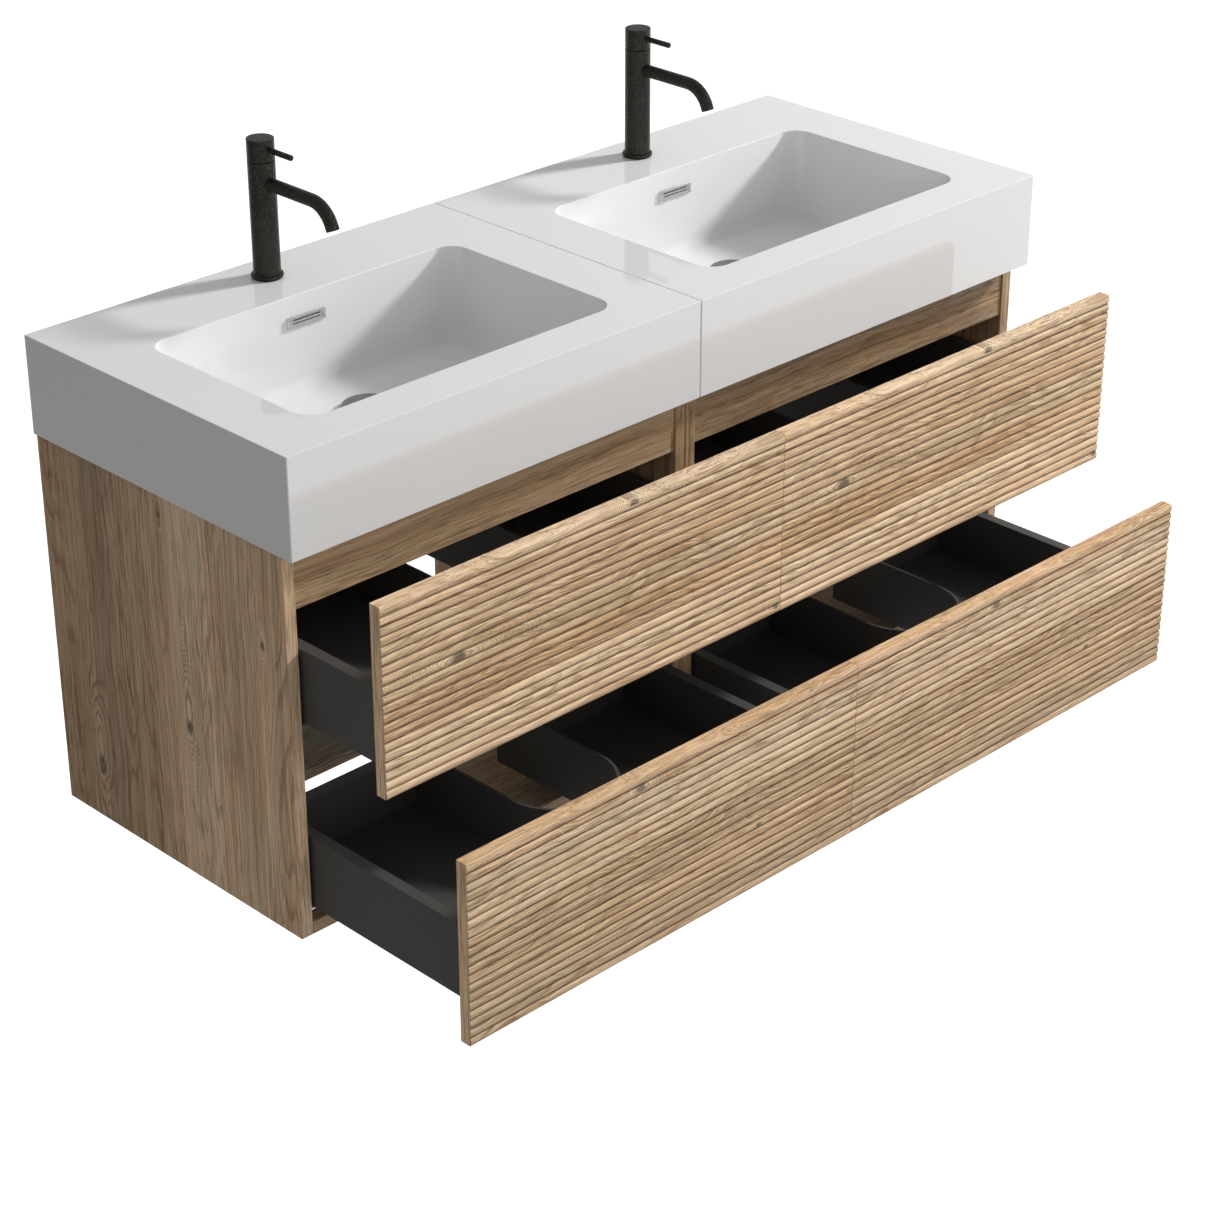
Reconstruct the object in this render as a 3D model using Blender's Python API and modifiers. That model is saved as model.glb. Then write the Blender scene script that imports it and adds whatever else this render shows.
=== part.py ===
"""Double bathroom vanity: two wall-hung cabinets side by side, each with two drawers, a basin and a mixer tap.

Frame, in metres: X runs along the width, +Y points to the wall, the fronts face -Y and +Z is up.
The origin lies on the wall plane, at mid width, on the line of the wall fixings.
The drawers are modelled part open: the upper pair by UPPER_OPEN and the lower pair by LOWER_OPEN.
"""
from math import cos, pi, radians, sin

import bmesh
import bpy
from mathutils import Vector

COLLECTION = "bathroom_vanity"
GAP = 0.0003                      # clearance between pieces that touch

# Overall sizes
MODULE = 0.600                    # width of one basin
BASIN_DEPTH = 0.4516
BASIN_HEIGHT = 0.118
BASIN_TOP = 0.168                 # height of the basin's top over the fixing line
CARCASS_HALF = 0.5955             # outer face of the end panels
CARCASS_DEPTH = 0.429
CARCASS_HEIGHT = 0.4710
BOARD = 0.016
EDGE = 0.0006                     # broken edge of a board

# Carcass boards
TOP_RAIL_HEIGHT = 0.070
TOP_RAIL_RECESS = 0.002
BACK_RAIL_HEIGHT = 0.100
FRONT_BOARD_DEPTH = 0.190
REAR_BOARD_DEPTH = 0.170
FIXING_OFFSET = 0.180             # wall fixings either side of a module's middle
FIXING_RADIUS = 0.004

# Wall bracket
BRACKET_LENGTH = 0.440
BRACKET_LEG = 0.060
BRACKET_SHELF = 0.025
BRACKET_SHEET = 0.003

# Basin
SKIRT = 0.012
DECK = 0.012
BASIN_EDGE = 0.001
BOWL_WIDTH = 0.445
BOWL_BACK = 0.1175                # distance of the bowl's back wall from the wall plane
BOWL_LENGTH = 0.2765              # front to back
BOWL_DEPTH = 0.112
BOWL_CORNER = 0.027
BOWL_FILLET = 0.010
BOWL_WALL = 0.010
DRAIN_BACK = 0.2225
DRAIN_HOLE = 0.023
TAP_BACK = 0.0512
TAP_HOLE = 0.0165
OVERFLOW_DROP = 0.0315
OVERFLOW_SIZE = (0.056, 0.014)
OVERFLOW_SHEET = 0.0025
OVERFLOW_SLOT = (0.040, 0.0022)
OVERFLOW_SLOT_PITCH = 0.0044

# Drain
FLANGE_RADIUS = 0.034
FLANGE_SHEET = 0.0022
THROAT_OUTER = 0.0215
THROAT_INNER = 0.0185
THROAT_END = -0.152               # below the basin's top
PLUG_RADIUS = 0.031
PLUG_CROWN = 0.0050
PLUG_RIM = 0.0024
PLUG_STEM = 0.006
PLUG_STEM_LENGTH = 0.026
PLUG_TRAVEL_CLEARANCE = 0.0004

# Bottle trap, heights below the basin's top
TRAP_NUT = (0.024, 0.020)         # radius and height
TRAP_TAIL = 0.016
BOTTLE_TOP = 0.218
BOTTLE_BOTTOM = 0.290
BOTTLE_RADIUS = 0.028
BOTTLE_ENDS = 0.0225              # radius of the bottle's flat ends
BOTTLE_SHOULDER = 0.0056          # fall of its upper edge
BOTTLE_CUP = 0.0112               # rise of its lower edge
OUTLET_DROP = 0.246
OUTLET_RADIUS = 0.015
ROSETTE = (0.024, 0.004)          # radius and thickness of the collar at the wall

# Tap, heights over the basin's top
TAP_RADIUS = 0.016
TAP_FLANGE = (0.019, 0.0070)
TAP_BODY_TOP = 0.1400
TAP_SHANK = (0.014, 0.045)
TAP_CHAMFER = 0.0006
CAP_BOTTOM = 0.1406
CAP_TOP = 0.1660
CAP_CAVITY = 0.013
CAP_CEILING = 0.1570
PIN_HEIGHT = 0.1550
PIN_RADIUS = 0.0034
PIN_REACH = 0.0552                # from the tap's axis to the pin's end
CARTRIDGE = (0.0085, 0.1530)
CARTRIDGE_FOOT = (0.012, 0.1424)
SPOUT_HEIGHT = 0.1145
SPOUT_RADIUS = 0.0078
SPOUT_BORE = 0.0060
SPOUT_STRAIGHT = 0.0868           # from the tap's axis to where the bend starts
SPOUT_BEND = 0.036
SPOUT_ANGLE = radians(68)
SPOUT_END = 0.0050
SPOUT_MOUTH = 0.004

# Drawers
FRONT_THICK = 0.016
RIB_DEPTH = 0.0035
RIB_COUNT = 20
RIB_STEPS = 6
FRONT_HEIGHT = 0.2230
FRONT_SEAM = 0.0005               # half of the gap between neighbouring fronts
UPPER_FRONT_DROP = 0.122          # top of the front below the basin's top
LOWER_FRONT_DROP = 0.3685
UPPER_SIDE_DROP = 0.2355          # top of the drawer sides below the basin's top
LOWER_SIDE_DROP = 0.4670
UPPER_OPEN = 0.1380
LOWER_OPEN = 0.2582
CLOSED_GAP = 0.0005               # front to carcass when shut
SIDE_HEIGHT = 0.090
SIDE_THICK = 0.015
SIDE_CLEARANCE = 0.0042            # side to carcass panel
BOX_LENGTH = 0.338
FLOOR_RECESS = 0.010
FLOOR_THICK = 0.012
BACK_THICK = 0.016
CUTOUT_INNER = 0.067              # half width inside the trap surround
SURROUND = 0.004
CUTOUT_LENGTH = 0.2393             # back edge to the innermost point
ARC_STEPS = 20

# Runner: folded sheet screwed to the carcass panel, under the drawer side
RUNNER_SHEET = 0.0018
RUNNER_LENGTH = 0.330
RUNNER_RISE = 0.030
RUNNER_DROP = 0.0018
RUNNER_SETBACK = 0.003
RUNNER_STEP_IN = 0.026
RUNNER_STEP_UP = 0.0085
RUNNER_WIDTH = 0.046

ROUND_STEPS = 32
SMOOTH_ANGLE = radians(35)        # flatter edges than this are shaded smooth
UP = Vector((0, 0, 1))


def clear_scene():
    for item in list(bpy.data.objects):
        bpy.data.objects.remove(item)


def make_collections():
    model = bpy.data.collections.new(COLLECTION)
    cutters = bpy.data.collections.new("cutters")
    for group in (model, cutters):
        bpy.context.scene.collection.children.link(group)
    return model, cutters


def material(name, colour, roughness, metallic=0.0):
    surface = bpy.data.materials.new(name)
    surface.use_nodes = True
    shader = surface.node_tree.nodes["Principled BSDF"]
    shader.inputs["Base Color"].default_value = (*colour, 1.0)
    shader.inputs["Roughness"].default_value = roughness
    shader.inputs["Metallic"].default_value = metallic
    return surface


def make_materials():
    return {
        "oak": material("light_oak", (0.52, 0.37, 0.25), 0.55),
        "ceramic": material("white_glaze", (0.86, 0.86, 0.85), 0.08),
        "anthracite": material("anthracite_board", (0.045, 0.044, 0.042), 0.5),
        "black": material("black_bronze", (0.022, 0.021, 0.019), 0.42, 0.8),
        "chrome": material("polished_chrome", (0.75, 0.75, 0.76), 0.1, 1.0),
        "steel": material("zinc_steel", (0.55, 0.56, 0.57), 0.35, 1.0),
        "plastic": material("grey_plastic", (0.30, 0.30, 0.30), 0.45),
    }


def add_object(name, data, surface, group, parent=None):
    item = bpy.data.objects.new(name, data)
    group.objects.link(item)
    if surface:
        data.materials.append(surface)
    if parent:
        item.parent = parent
    return item


def place(item, point):
    """Puts an object at a world point, whatever its parent."""
    base = item.parent.location if item.parent else Vector((0, 0, 0))
    item.location = Vector(point) - base


def pivot(name, point, group):
    empty = bpy.data.objects.new(name, None)
    group.objects.link(empty)
    empty.location = point
    return empty


def as_cutter(item):
    item.hide_render = True
    item.display_type = "WIRE"
    return item


def mesh_from(name, shape):
    mesh = bpy.data.meshes.new(name)
    shape.to_mesh(mesh)
    shape.free()
    return mesh


def block_shape(size):
    shape = bmesh.new()
    bmesh.ops.create_cube(shape, size=1.0)
    bmesh.ops.scale(shape, vec=size, verts=shape.verts)
    return shape


def board(name, low, high, surface, group, parent=None, edge=EDGE):
    """A rectangular board between two world corners, with broken edges."""
    low, high = Vector(low), Vector(high)
    item = add_object(name, mesh_from(name, block_shape(high - low)), surface, group, parent)
    place(item, (low + high) / 2)
    bevel = item.modifiers.new("broken_edges", "BEVEL")
    bevel.width = edge
    bevel.segments = 1
    return item


def cut(item, cutter):
    hole = item.modifiers.new("cut", "BOOLEAN")
    hole.operation = "DIFFERENCE"
    hole.object = cutter


def join(item, other):
    union = item.modifiers.new("join", "BOOLEAN")
    union.operation = "UNION"
    union.object = other


def rod_cutter(name, radius, start, end, group, steps=ROUND_STEPS):
    """A cylinder between two world points, used to cut or to join."""
    start, end = Vector(start), Vector(end)
    shape = bmesh.new()
    bmesh.ops.create_cone(
        shape, cap_ends=True, segments=steps, radius1=radius, radius2=radius, depth=(end - start).length
    )
    item = as_cutter(add_object(name, mesh_from(name, shape), None, group))
    item.rotation_euler = UP.rotation_difference(end - start).to_euler()
    item.location = (start + end) / 2
    return item


def block_cutter(name, low, high, group):
    low, high = Vector(low), Vector(high)
    item = as_cutter(add_object(name, mesh_from(name, block_shape(high - low)), None, group))
    item.location = (low + high) / 2
    return item


def tub_cutter(name, low, high, corner, fillet, group):
    """A block with rounded upright edges and a rounded bottom, between two world corners."""
    low, high = Vector(low), Vector(high)
    shape = block_shape(high - low)
    upright = [e for e in shape.edges if abs(e.verts[0].co.z - e.verts[1].co.z) > corner / 2]
    bmesh.ops.bevel(shape, geom=upright, offset=corner, segments=6, profile=0.5, affect="EDGES")
    floor = min(v.co.z for v in shape.verts)
    lower = [e for e in shape.edges if all(abs(v.co.z - floor) < GAP for v in e.verts)]
    bmesh.ops.bevel(shape, geom=lower, offset=fillet, segments=3, profile=0.5, affect="EDGES")
    item = as_cutter(add_object(name, mesh_from(name, shape), None, group))
    item.location = (low + high) / 2
    return item


def turned(name, profile, surface, group, parent=None, steps=ROUND_STEPS):
    """A solid of revolution about its own Z axis. The profile runs from the top down its outer side."""
    shape = bmesh.new()
    points = [shape.verts.new((radius, 0, height)) for radius, height in profile]
    for first, second in zip(points, points[1:]):
        shape.edges.new((first, second))
    item = add_object(name, mesh_from(name, shape), surface, group, parent)
    screw = item.modifiers.new("turn", "SCREW")
    screw.steps = steps
    screw.render_steps = steps
    screw.use_merge_vertices = True
    screw.merge_threshold = 0.00001
    return item


def outline(name, points, thickness, surface, group, parent=None):
    """A flat outline in its own XY plane, thickened equally to both sides along Z."""
    curve = bpy.data.curves.new(name, "CURVE")
    curve.dimensions = "2D"
    curve.fill_mode = "BOTH"
    curve.extrude = thickness / 2
    spline = curve.splines.new("POLY")
    spline.points.add(len(points) - 1)
    for target, (x, y) in zip(spline.points, points):
        target.co = (x, y, 0, 1)
    spline.use_cyclic_u = True
    return add_object(name, curve, surface, group, parent)


def folded_strip(name, path, length, sheet, surface, group):
    """Sheet metal folded along a path in XZ and run along Y, with the path at mid sheet."""
    shape = bmesh.new()
    points = [shape.verts.new((x, -length / 2, z)) for x, z in path]
    edges = [shape.edges.new(pair) for pair in zip(points, points[1:])]
    grown = bmesh.ops.extrude_edge_only(shape, edges=edges)["geom"]
    moved = [v for v in grown if isinstance(v, bmesh.types.BMVert)]
    bmesh.ops.translate(shape, vec=(0, length, 0), verts=moved)
    bmesh.ops.recalc_face_normals(shape, faces=shape.faces)
    item = add_object(name, mesh_from(name, shape), surface, group)
    shell = item.modifiers.new("sheet", "SOLIDIFY")
    shell.thickness = sheet
    shell.offset = 0
    shell.use_even_offset = True
    return item


def solid_from_curve(item):
    """Turns a tube's curve into a mesh with its caps welded on."""
    view = bpy.context.evaluated_depsgraph_get()
    mesh = bpy.data.meshes.new_from_object(item.evaluated_get(view))
    shape = bmesh.new()
    shape.from_mesh(mesh)
    bmesh.ops.remove_doubles(shape, verts=shape.verts, dist=0.00001)
    shape.to_mesh(mesh)
    shape.free()
    solid = bpy.data.objects.new(item.name + "_solid", mesh)
    item.users_collection[0].objects.link(solid)
    solid.parent = item.parent
    solid.matrix_world = item.matrix_world.copy()
    name = item.name
    bpy.data.objects.remove(item)
    solid.name = name
    return solid


def arc(radius, start, end, steps, centre=(0.0, 0.0)):
    """Points on a circle from one angle to another, both ends included."""
    angles = [start + (end - start) * i / steps for i in range(steps + 1)]
    return [(centre[0] + radius * cos(a), centre[1] + radius * sin(a)) for a in angles]


def module_span(sign):
    """The outer faces of one carcass, left to right."""
    return tuple(sorted((sign * CARCASS_HALF, sign * GAP)))


def carcass(label, sign, kit, model, cutters):
    left, right = module_span(sign)
    top = BASIN_TOP - BASIN_HEIGHT - GAP
    bottom = top - CARCASS_HEIGHT
    front = -CARCASS_DEPTH
    oak = kit["oak"]
    board(label + "_side_panel_l", (left, front, bottom), (left + BOARD, 0, top), oak, model)
    board(label + "_side_panel_r", (right - BOARD, front, bottom), (right, 0, top), oak, model)
    inner_left, inner_right = left + BOARD + GAP, right - BOARD - GAP
    rail_front = front + TOP_RAIL_RECESS
    board(
        label + "_top_rail",
        (inner_left, rail_front, top - TOP_RAIL_HEIGHT), (inner_right, rail_front + BOARD, top), oak, model,
    )
    board(
        label + "_bottom_board_front",
        (inner_left, front, bottom), (inner_right, front + FRONT_BOARD_DEPTH, bottom + BOARD), oak, model,
    )
    board(
        label + "_bottom_board_rear",
        (inner_left, -REAR_BOARD_DEPTH, bottom), (inner_right, 0, bottom + BOARD), oak, model,
    )
    rail = board(
        label + "_back_rail",
        (inner_left, -BOARD, top - BACK_RAIL_HEIGHT), (inner_right, 0, top), oak, model,
    )
    middle = sign * MODULE / 2
    bracket = folded_strip(
        label + "_wall_bracket",
        [(BRACKET_SHELF, 0), (0, 0), (0, BRACKET_LEG)], BRACKET_LENGTH, BRACKET_SHEET, kit["steel"], model,
    )
    bracket.rotation_euler = (0, 0, -pi / 2)
    bracket.location = (middle, -BOARD - GAP - BRACKET_SHEET / 2, -BRACKET_LEG / 2)
    for side in (-1, 1):
        x = middle + side * FIXING_OFFSET
        drill = rod_cutter(
            f"{label}_fixing_{side}", FIXING_RADIUS, (x, -3 * BOARD, 0), (x, BOARD, 0), cutters, steps=16
        )
        cut(rail, drill)
        cut(bracket, drill)


def basin(label, sign, kit, model, cutters):
    middle = sign * MODULE / 2
    half = MODULE / 2 - GAP
    top, bottom = BASIN_TOP, BASIN_TOP - BASIN_HEIGHT
    item = board(
        label + "_basin", (middle - half, -BASIN_DEPTH, bottom), (middle + half, 0, top), kit["ceramic"], model,
        edge=BASIN_EDGE,
    )
    item.modifiers["broken_edges"].segments = 2
    bowl_x = (middle - BOWL_WIDTH / 2, middle + BOWL_WIDTH / 2)
    bowl_y = (-BOWL_BACK - BOWL_LENGTH, -BOWL_BACK)
    floor = top - BOWL_DEPTH
    bowl = tub_cutter(
        label + "_bowl", (bowl_x[0], bowl_y[0], floor), (bowl_x[1], bowl_y[1], top + SKIRT),
        BOWL_CORNER, BOWL_FILLET, cutters,
    )
    shell = tub_cutter(
        label + "_bowl_shell",
        (bowl_x[0] - BOWL_WALL, bowl_y[0] - BOWL_WALL, bottom - 2 * SKIRT),
        (bowl_x[1] + BOWL_WALL, bowl_y[1] + BOWL_WALL, top),
        BOWL_CORNER + BOWL_WALL, BOWL_FILLET, cutters,
    )
    hollow = block_cutter(
        label + "_underside",
        (middle - half + SKIRT, -BASIN_DEPTH + SKIRT, bottom - SKIRT), (middle + half - SKIRT, -SKIRT, top - DECK),
        cutters,
    )
    cut(hollow, shell)
    for cutter in (bowl, hollow):
        cut(item, cutter)
    drain, tap = (middle, -DRAIN_BACK), (middle, -TAP_BACK)
    cut(item, rod_cutter(label + "_drain_hole", DRAIN_HOLE, (*drain, bottom - DECK), (*drain, floor + DECK), cutters))
    cut(item, rod_cutter(label + "_tap_hole", TAP_HOLE, (*tap, top - 2 * DECK), (*tap, top + DECK), cutters))
    slot_x, slot_z = OVERFLOW_SIZE[0] / 2 - DECK / 2, OVERFLOW_SIZE[1] / 3
    centre_z = top - OVERFLOW_DROP
    cut(item, block_cutter(
        label + "_overflow_hole",
        (middle - slot_x, -BOWL_BACK - DECK / 2, centre_z - slot_z),
        (middle + slot_x, -BOWL_BACK + BOWL_WALL + DECK / 2, centre_z + slot_z), cutters,
    ))


def overflow_cover(label, sign, kit, model, cutters):
    middle = sign * MODULE / 2
    z = BASIN_TOP - OVERFLOW_DROP
    half_x, half_z = OVERFLOW_SIZE[0] / 2, OVERFLOW_SIZE[1] / 2
    back = -BOWL_BACK - GAP
    item = board(
        label + "_overflow_cover",
        (middle - half_x, back - OVERFLOW_SHEET, z - half_z), (middle + half_x, back, z + half_z),
        kit["chrome"], model,
    )
    slot_x, slot_z = OVERFLOW_SLOT[0] / 2, OVERFLOW_SLOT[1] / 2
    for row in (-0.5, 0.5):
        centre = z + row * OVERFLOW_SLOT_PITCH
        cut(item, block_cutter(
            f"{label}_overflow_slot_{row}",
            (middle - slot_x, back - 2 * OVERFLOW_SHEET, centre - slot_z),
            (middle + slot_x, back + OVERFLOW_SHEET, centre + slot_z), cutters,
        ))


def drain(label, sign, kit, model):
    """Turned flange with its throat, and the domed plug that stands in it."""
    point = (sign * MODULE / 2, -DRAIN_BACK, BASIN_TOP - BOWL_DEPTH)
    end = BOWL_DEPTH + THROAT_END
    flange = turned(
        label + "_drain_flange",
        [
            (THROAT_INNER, FLANGE_SHEET * 0.5), (THROAT_INNER + FLANGE_SHEET, FLANGE_SHEET + GAP),
            (FLANGE_RADIUS - FLANGE_SHEET, FLANGE_SHEET + GAP), (FLANGE_RADIUS, 2 * GAP), (FLANGE_RADIUS, GAP),
            (THROAT_OUTER, GAP), (THROAT_OUTER, end), (THROAT_INNER, end), (THROAT_INNER, FLANGE_SHEET * 0.5),
        ],
        kit["chrome"], model,
    )
    place(flange, point)
    seat = FLANGE_SHEET + GAP + PLUG_TRAVEL_CLEARANCE
    crown = [
        (PLUG_RADIUS * sin(a), seat + PLUG_RIM + PLUG_CROWN * cos(a)) for a in (0, pi / 8, pi / 4, 3 * pi / 8, pi / 2)
    ]
    plug = turned(
        label + "_drain_plug",
        crown + [(PLUG_RADIUS, seat), (PLUG_STEM, seat), (PLUG_STEM, -PLUG_STEM_LENGTH), (0, -PLUG_STEM_LENGTH)],
        kit["chrome"], model,
    )
    place(plug, point)


def waste_trap(label, sign, kit, model, cutters):
    """Bottle trap: tail nut and pipe, bottle, and the outlet that runs back to the wall."""
    middle = sign * MODULE / 2
    start = THROAT_END - GAP
    nut_radius, nut_height = TRAP_NUT
    item = turned(
        label + "_waste_trap",
        [
            (0, start), (nut_radius, start), (nut_radius, start - nut_height), (TRAP_TAIL, start - nut_height),
            (TRAP_TAIL, -BOTTLE_TOP), (BOTTLE_ENDS, -BOTTLE_TOP), (BOTTLE_RADIUS, -BOTTLE_TOP - BOTTLE_SHOULDER),
            (BOTTLE_RADIUS, -BOTTLE_BOTTOM + BOTTLE_CUP), (BOTTLE_ENDS, -BOTTLE_BOTTOM), (0, -BOTTLE_BOTTOM),
        ],
        kit["plastic"], model,
    )
    place(item, (middle, -DRAIN_BACK, BASIN_TOP))
    z = BASIN_TOP - OUTLET_DROP
    outlet = rod_cutter(label + "_outlet", OUTLET_RADIUS, (middle, -DRAIN_BACK, z), (middle, -GAP, z), cutters, 24)
    collar = rod_cutter(
        label + "_rosette", ROSETTE[0] - GAP, (middle, -ROSETTE[1] - GAP, z), (middle, -2 * GAP, z), cutters, 24
    )
    join(item, outlet)
    join(item, collar)


def spout_path():
    """Centre line of the spout in its own YZ plane: out, round the bend, then straight down the slope."""
    points = [(0.0, SPOUT_HEIGHT)]
    steps = 10
    for i in range(steps + 1):
        a = SPOUT_ANGLE * i / steps
        points.append((-SPOUT_STRAIGHT - SPOUT_BEND * sin(a), SPOUT_HEIGHT - SPOUT_BEND * (1 - cos(a))))
    y, z = points[-1]
    points.append((y - SPOUT_END * cos(SPOUT_ANGLE), z - SPOUT_END * sin(SPOUT_ANGLE)))
    return points


def tap(label, sign, kit, model, cutters):
    centre = Vector((sign * MODULE / 2, -TAP_BACK, BASIN_TOP))
    black = kit["black"]
    flange_radius, flange_height = TAP_FLANGE
    shank_radius, shank_length = TAP_SHANK
    body = turned(
        label + "_tap_body",
        [
            (0, TAP_BODY_TOP), (TAP_RADIUS - TAP_CHAMFER, TAP_BODY_TOP), (TAP_RADIUS, TAP_BODY_TOP - TAP_CHAMFER),
            (TAP_RADIUS, flange_height), (flange_radius - TAP_CHAMFER, flange_height),
            (flange_radius, flange_height - TAP_CHAMFER), (flange_radius, GAP), (shank_radius, GAP),
            (shank_radius, -shank_length), (0, -shank_length),
        ],
        black, model,
    )
    place(body, centre)

    curve = bpy.data.curves.new(label + "_tap_spout", "CURVE")
    curve.dimensions = "3D"
    curve.bevel_depth = SPOUT_RADIUS
    curve.bevel_resolution = 4
    curve.use_fill_caps = True
    spline = curve.splines.new("POLY")
    path = spout_path()
    spline.points.add(len(path) - 1)
    for target, (y, z) in zip(spline.points, path):
        target.co = (0, y, z, 1)
    pipe = add_object(label + "_tap_spout", curve, black, model)
    pipe.location = centre
    bpy.context.view_layer.update()
    spout = solid_from_curve(pipe)
    axis_top, axis_bottom = centre + UP * CAP_TOP, centre + UP * flange_height
    cut(spout, rod_cutter(label + "_spout_root", TAP_RADIUS + GAP, axis_bottom, axis_top, cutters, 64))
    end_y, end_z = path[-1]
    slope = Vector((0, -cos(SPOUT_ANGLE), -sin(SPOUT_ANGLE)))
    mouth = centre + Vector((0, end_y, end_z))
    cut(spout, rod_cutter(
        label + "_spout_mouth", SPOUT_BORE, mouth - slope * SPOUT_MOUTH, mouth + slope * SPOUT_MOUTH, cutters, 16
    ))

    foot_radius, foot_top = CARTRIDGE_FOOT
    neck_radius, neck_top = CARTRIDGE
    cartridge = turned(
        label + "_tap_cartridge",
        [
            (0, neck_top), (neck_radius, neck_top), (neck_radius, foot_top), (foot_radius, foot_top),
            (foot_radius, TAP_BODY_TOP + GAP), (0, TAP_BODY_TOP + GAP),
        ],
        kit["plastic"], model, steps=24,
    )
    place(cartridge, centre)

    hinge = pivot(label + "_tap_lift", centre + Vector((0, TAP_RADIUS, CAP_BOTTOM)), model)
    lever = turned(
        label + "_tap_lever",
        [
            (0, CAP_TOP), (TAP_RADIUS - TAP_CHAMFER, CAP_TOP), (TAP_RADIUS, CAP_TOP - TAP_CHAMFER),
            (TAP_RADIUS, CAP_BOTTOM), (CAP_CAVITY, CAP_BOTTOM), (CAP_CAVITY, CAP_CEILING), (0, CAP_CEILING),
        ],
        black, model, parent=hinge,
    )
    place(lever, centre)
    root = centre + Vector((0, -(TAP_RADIUS + CAP_CAVITY) / 2, PIN_HEIGHT))
    tip = centre + Vector((0, -PIN_REACH, PIN_HEIGHT))
    join(lever, rod_cutter(label + "_pin", PIN_RADIUS, root, tip, cutters, 16))


def front_profile():
    """Section of a fluted front: x is depth, from the ribs' crowns at 0 to the back, and y is height."""
    pitch = FRONT_HEIGHT / RIB_COUNT
    points = []
    for rib in range(RIB_COUNT):
        for step in range(RIB_STEPS):
            a = pi * step / RIB_STEPS
            points.append((RIB_DEPTH * (1 - sin(a)), (rib + (1 - cos(a)) / 2) * pitch))
    points.append((RIB_DEPTH, FRONT_HEIGHT))
    points.append((FRONT_THICK, FRONT_HEIGHT))
    points.append((FRONT_THICK, 0.0))
    return points


def drawer_front(name, left, right, back, top, kit, model, parent):
    item = outline(name, front_profile(), right - left, kit["oak"], model, parent)
    item.rotation_euler = (pi / 2, 0, pi / 2)
    place(item, ((left + right) / 2, back - FRONT_THICK, top - FRONT_HEIGHT))


def back_outline(half, rear):
    """Two back boards and the bent surround between them, seen from above, about the drawer's middle."""
    outer = CUTOUT_INNER + SURROUND
    bend = rear - CUTOUT_LENGTH + CUTOUT_INNER
    inner_face = rear - BACK_THICK
    points = [(half, rear), (CUTOUT_INNER, rear)]
    points += arc(CUTOUT_INNER, 0, -pi, ARC_STEPS, (0, bend))
    points += [(-CUTOUT_INNER, rear), (-half, rear), (-half, inner_face), (-outer, inner_face)]
    points += arc(outer, -pi, 0, ARC_STEPS, (0, bend))
    points += [(outer, inner_face), (half, inner_face)]
    return points


def floor_outline(half, front, rear):
    """Drawer floor with the cut-out for the trap, seen from above, about the drawer's middle."""
    radius = CUTOUT_INNER + SURROUND + GAP
    bend = rear - CUTOUT_LENGTH + CUTOUT_INNER
    back_edge = rear - BACK_THICK - GAP
    points = [(-half, front), (half, front), (half, back_edge), (radius, back_edge)]
    points += arc(radius, 0, -pi, ARC_STEPS, (0, bend))
    points += [(-radius, back_edge), (-half, back_edge)]
    return points


def drawer(label, sign, opened, front_drop, side_drop, kit, model):
    left, right = module_span(sign)
    middle = (left + right) / 2
    back_of_front = -CARCASS_DEPTH - CLOSED_GAP - opened
    top = BASIN_TOP - side_drop
    bottom = top - SIDE_HEIGHT
    box_front = back_of_front + GAP
    rear = back_of_front + BOX_LENGTH
    body = pivot(label, (middle, back_of_front, BASIN_TOP - front_drop - FRONT_HEIGHT), model)
    near, far = sorted((sign * FRONT_SEAM, sign * CARCASS_HALF))
    drawer_front(label + "_front", near, far, back_of_front, BASIN_TOP - front_drop, kit, model, body)

    dark = kit["anthracite"]
    outer_left, outer_right = left + BOARD + SIDE_CLEARANCE, right - BOARD - SIDE_CLEARANCE
    board(
        label + "_side_l", (outer_left, box_front, bottom), (outer_left + SIDE_THICK, rear, top), dark, model, body
    )
    board(
        label + "_side_r", (outer_right - SIDE_THICK, box_front, bottom), (outer_right, rear, top), dark, model, body
    )
    half = outer_right - SIDE_THICK - GAP - middle
    base = bottom + FLOOR_RECESS
    back = outline(label + "_back", back_outline(half, rear), top - base, dark, model, body)
    place(back, (middle, 0, (top + base) / 2))
    floor = outline(label + "_floor", floor_outline(half, box_front, rear), FLOOR_THICK, dark, model, body)
    place(floor, (middle, 0, base + FLOOR_THICK / 2))


def runners(label, sign, side_drop, kit, model):
    """A folded runner on each carcass panel, reaching under the drawer's side and up behind it."""
    left, right = module_span(sign)
    seat = BASIN_TOP - side_drop - SIDE_HEIGHT
    y = -CARCASS_DEPTH + RUNNER_SETBACK + RUNNER_LENGTH / 2
    for suffix, face, inward in (("_l", left + BOARD, 1), ("_r", right - BOARD, -1)):
        start = GAP + RUNNER_SHEET / 2
        path = [
            (start, RUNNER_RISE), (start, -RUNNER_DROP), (RUNNER_STEP_IN, -RUNNER_DROP),
            (RUNNER_STEP_IN, RUNNER_STEP_UP - RUNNER_SHEET), (RUNNER_WIDTH, RUNNER_STEP_UP - RUNNER_SHEET),
        ]
        path = [(inward * x, z) for x, z in path]
        item = folded_strip(label + suffix, path, RUNNER_LENGTH, RUNNER_SHEET, kit["steel"], model)
        item.location = (face, y, seat)


def shade_round_pieces(group):
    for item in group.objects:
        if item.type == "MESH":
            item.data.shade_smooth()
            item.data.set_sharp_from_angle(angle=SMOOTH_ANGLE)


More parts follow.
